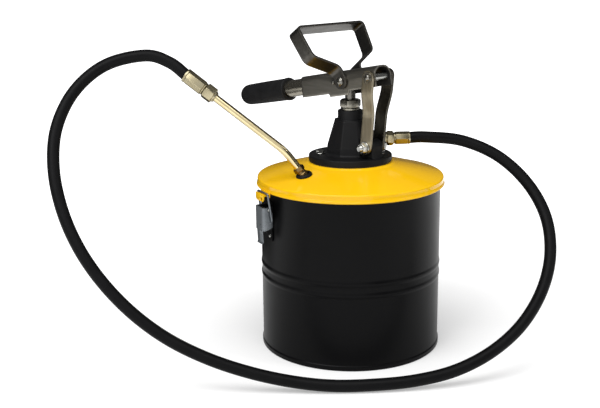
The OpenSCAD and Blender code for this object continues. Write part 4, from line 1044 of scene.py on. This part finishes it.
def paper_floor():
    """White paper with a glow that only the eye sees, weaker near the bucket: this paints a broad shade round the
    bucket and lets the shadow stay.
    """
    radius, height, sides, tone = 40, -0.0004, 64, 0.7
    mat, tree, out = new_material("white_paper")
    paper, glow, both, spot, away = added(tree, "ShaderNode", "BsdfDiffuse", "Emission", "AddShader", "TexCoord",
                                          "VectorMath")
    paper.inputs["Color"].default_value = (tone, tone, tone, 1)
    away.operation = "LENGTH"
    wire(tree, (spot, "Object", away, 0), (paper, 0, both, 0), (glow, 0, both, 1), (both, 0, out, "Surface"))
    # Less glow near the bucket: a painted shade on the floor round it
    near_glow = between(tree, away.outputs["Value"], 0.1, 0.36, 0.26, 0.56)
    far_glow = between(tree, away.outputs["Value"], 0.4, 1.2, 0.0, 0.6)
    lift = maths(tree, "MULTIPLY", seen_directly(tree), maths(tree, "ADD", near_glow, far_glow))
    tree.links.new(lift, glow.inputs["Strength"])
    rim = [polar(radius, a, height) for a in bearings(sides)]
    stage_sheet("paper_floor", rim, [tuple(range(sides))], mat)


def studio_world():
    light_on_pieces, light_seen = 0.45, 1.0
    world = bpy.data.worlds.new("white_studio")
    scene.world = world
    world.use_nodes = True
    tree = world.node_tree
    tree.nodes.clear()
    out, sky = added(tree, "ShaderNode", "OutputWorld", "Background")
    sky.inputs["Color"].default_value = (1, 1, 1, 1)
    level = between(tree, seen_directly(tree), 0.0, 1.0, light_on_pieces, light_seen)
    tree.links.new(level, sky.inputs["Strength"])
    wire(tree, (sky, 0, out, "Surface"))


def soft_lamp(name, at, width, height, watts, towards=(0, 0, 0.2)):
    data = bpy.data.lights.new(name, "AREA")
    data.shape = "RECTANGLE"
    data.size = width
    data.size_y = height
    data.energy = watts
    lamp = placed(name, data)
    lamp.location = at
    lamp.rotation_euler = (Vector(towards) - Vector(at)).to_track_quat("-Z", "Y").to_euler()


def card_wall(radius, start, end, low, high):
    """Points and faces of a curved wall round the object, from one bearing to another in degrees."""
    count = max(4, int((end - start) / 6))
    rim = [radians(start + (end - start) * k / count) for k in range(count + 1)]
    row = count + 1
    faces = [(k, k + 1, row + k + 1, row + k) for k in range(count)]
    return [polar(radius, a, z) for z in (low, high) for a in rim], faces


def card_ceiling(x, y, z, radius, sides=48):
    rim = [(x + radius * cos(a), y + radius * sin(a), z) for a in bearings(sides)]
    return rim, [tuple(range(sides))]


def grey_card(name, shape, tone):
    """A card of the studio that only reflections show."""
    mat, tree, out = new_material(name)
    glow = tree.nodes.new("ShaderNodeEmission")
    glow.inputs["Strength"].default_value = tone
    wire(tree, (glow, 0, out, "Surface"))
    card = stage_sheet(name, *shape, mat)
    card.visible_camera = card.visible_diffuse = card.visible_shadow = False
    card.visible_transmission = card.visible_volume_scatter = False


paper_floor()
studio_world()
grey_card("dark_card_ring", card_wall(1.45, -20, 250, low=0.0, high=1.6), tone=0.08)
grey_card("dark_ceiling", card_ceiling(-0.6, 0.6, 2.3, radius=1.9), tone=0.08)
grey_card("left_flag", card_wall(0.4, 150, 215, low=0.0, high=0.3), tone=0.03)
soft_lamp("key_softbox", (0.1, -1.5, 1.6), 1.2, 1.2, watts=20)
soft_lamp("top_softbox", (0.5, -0.5, 1.95), 1.2, 1.2, watts=15)
soft_lamp("right_strip", (1.5, 0.7, 0.8), 0.4, 1.4, watts=7)
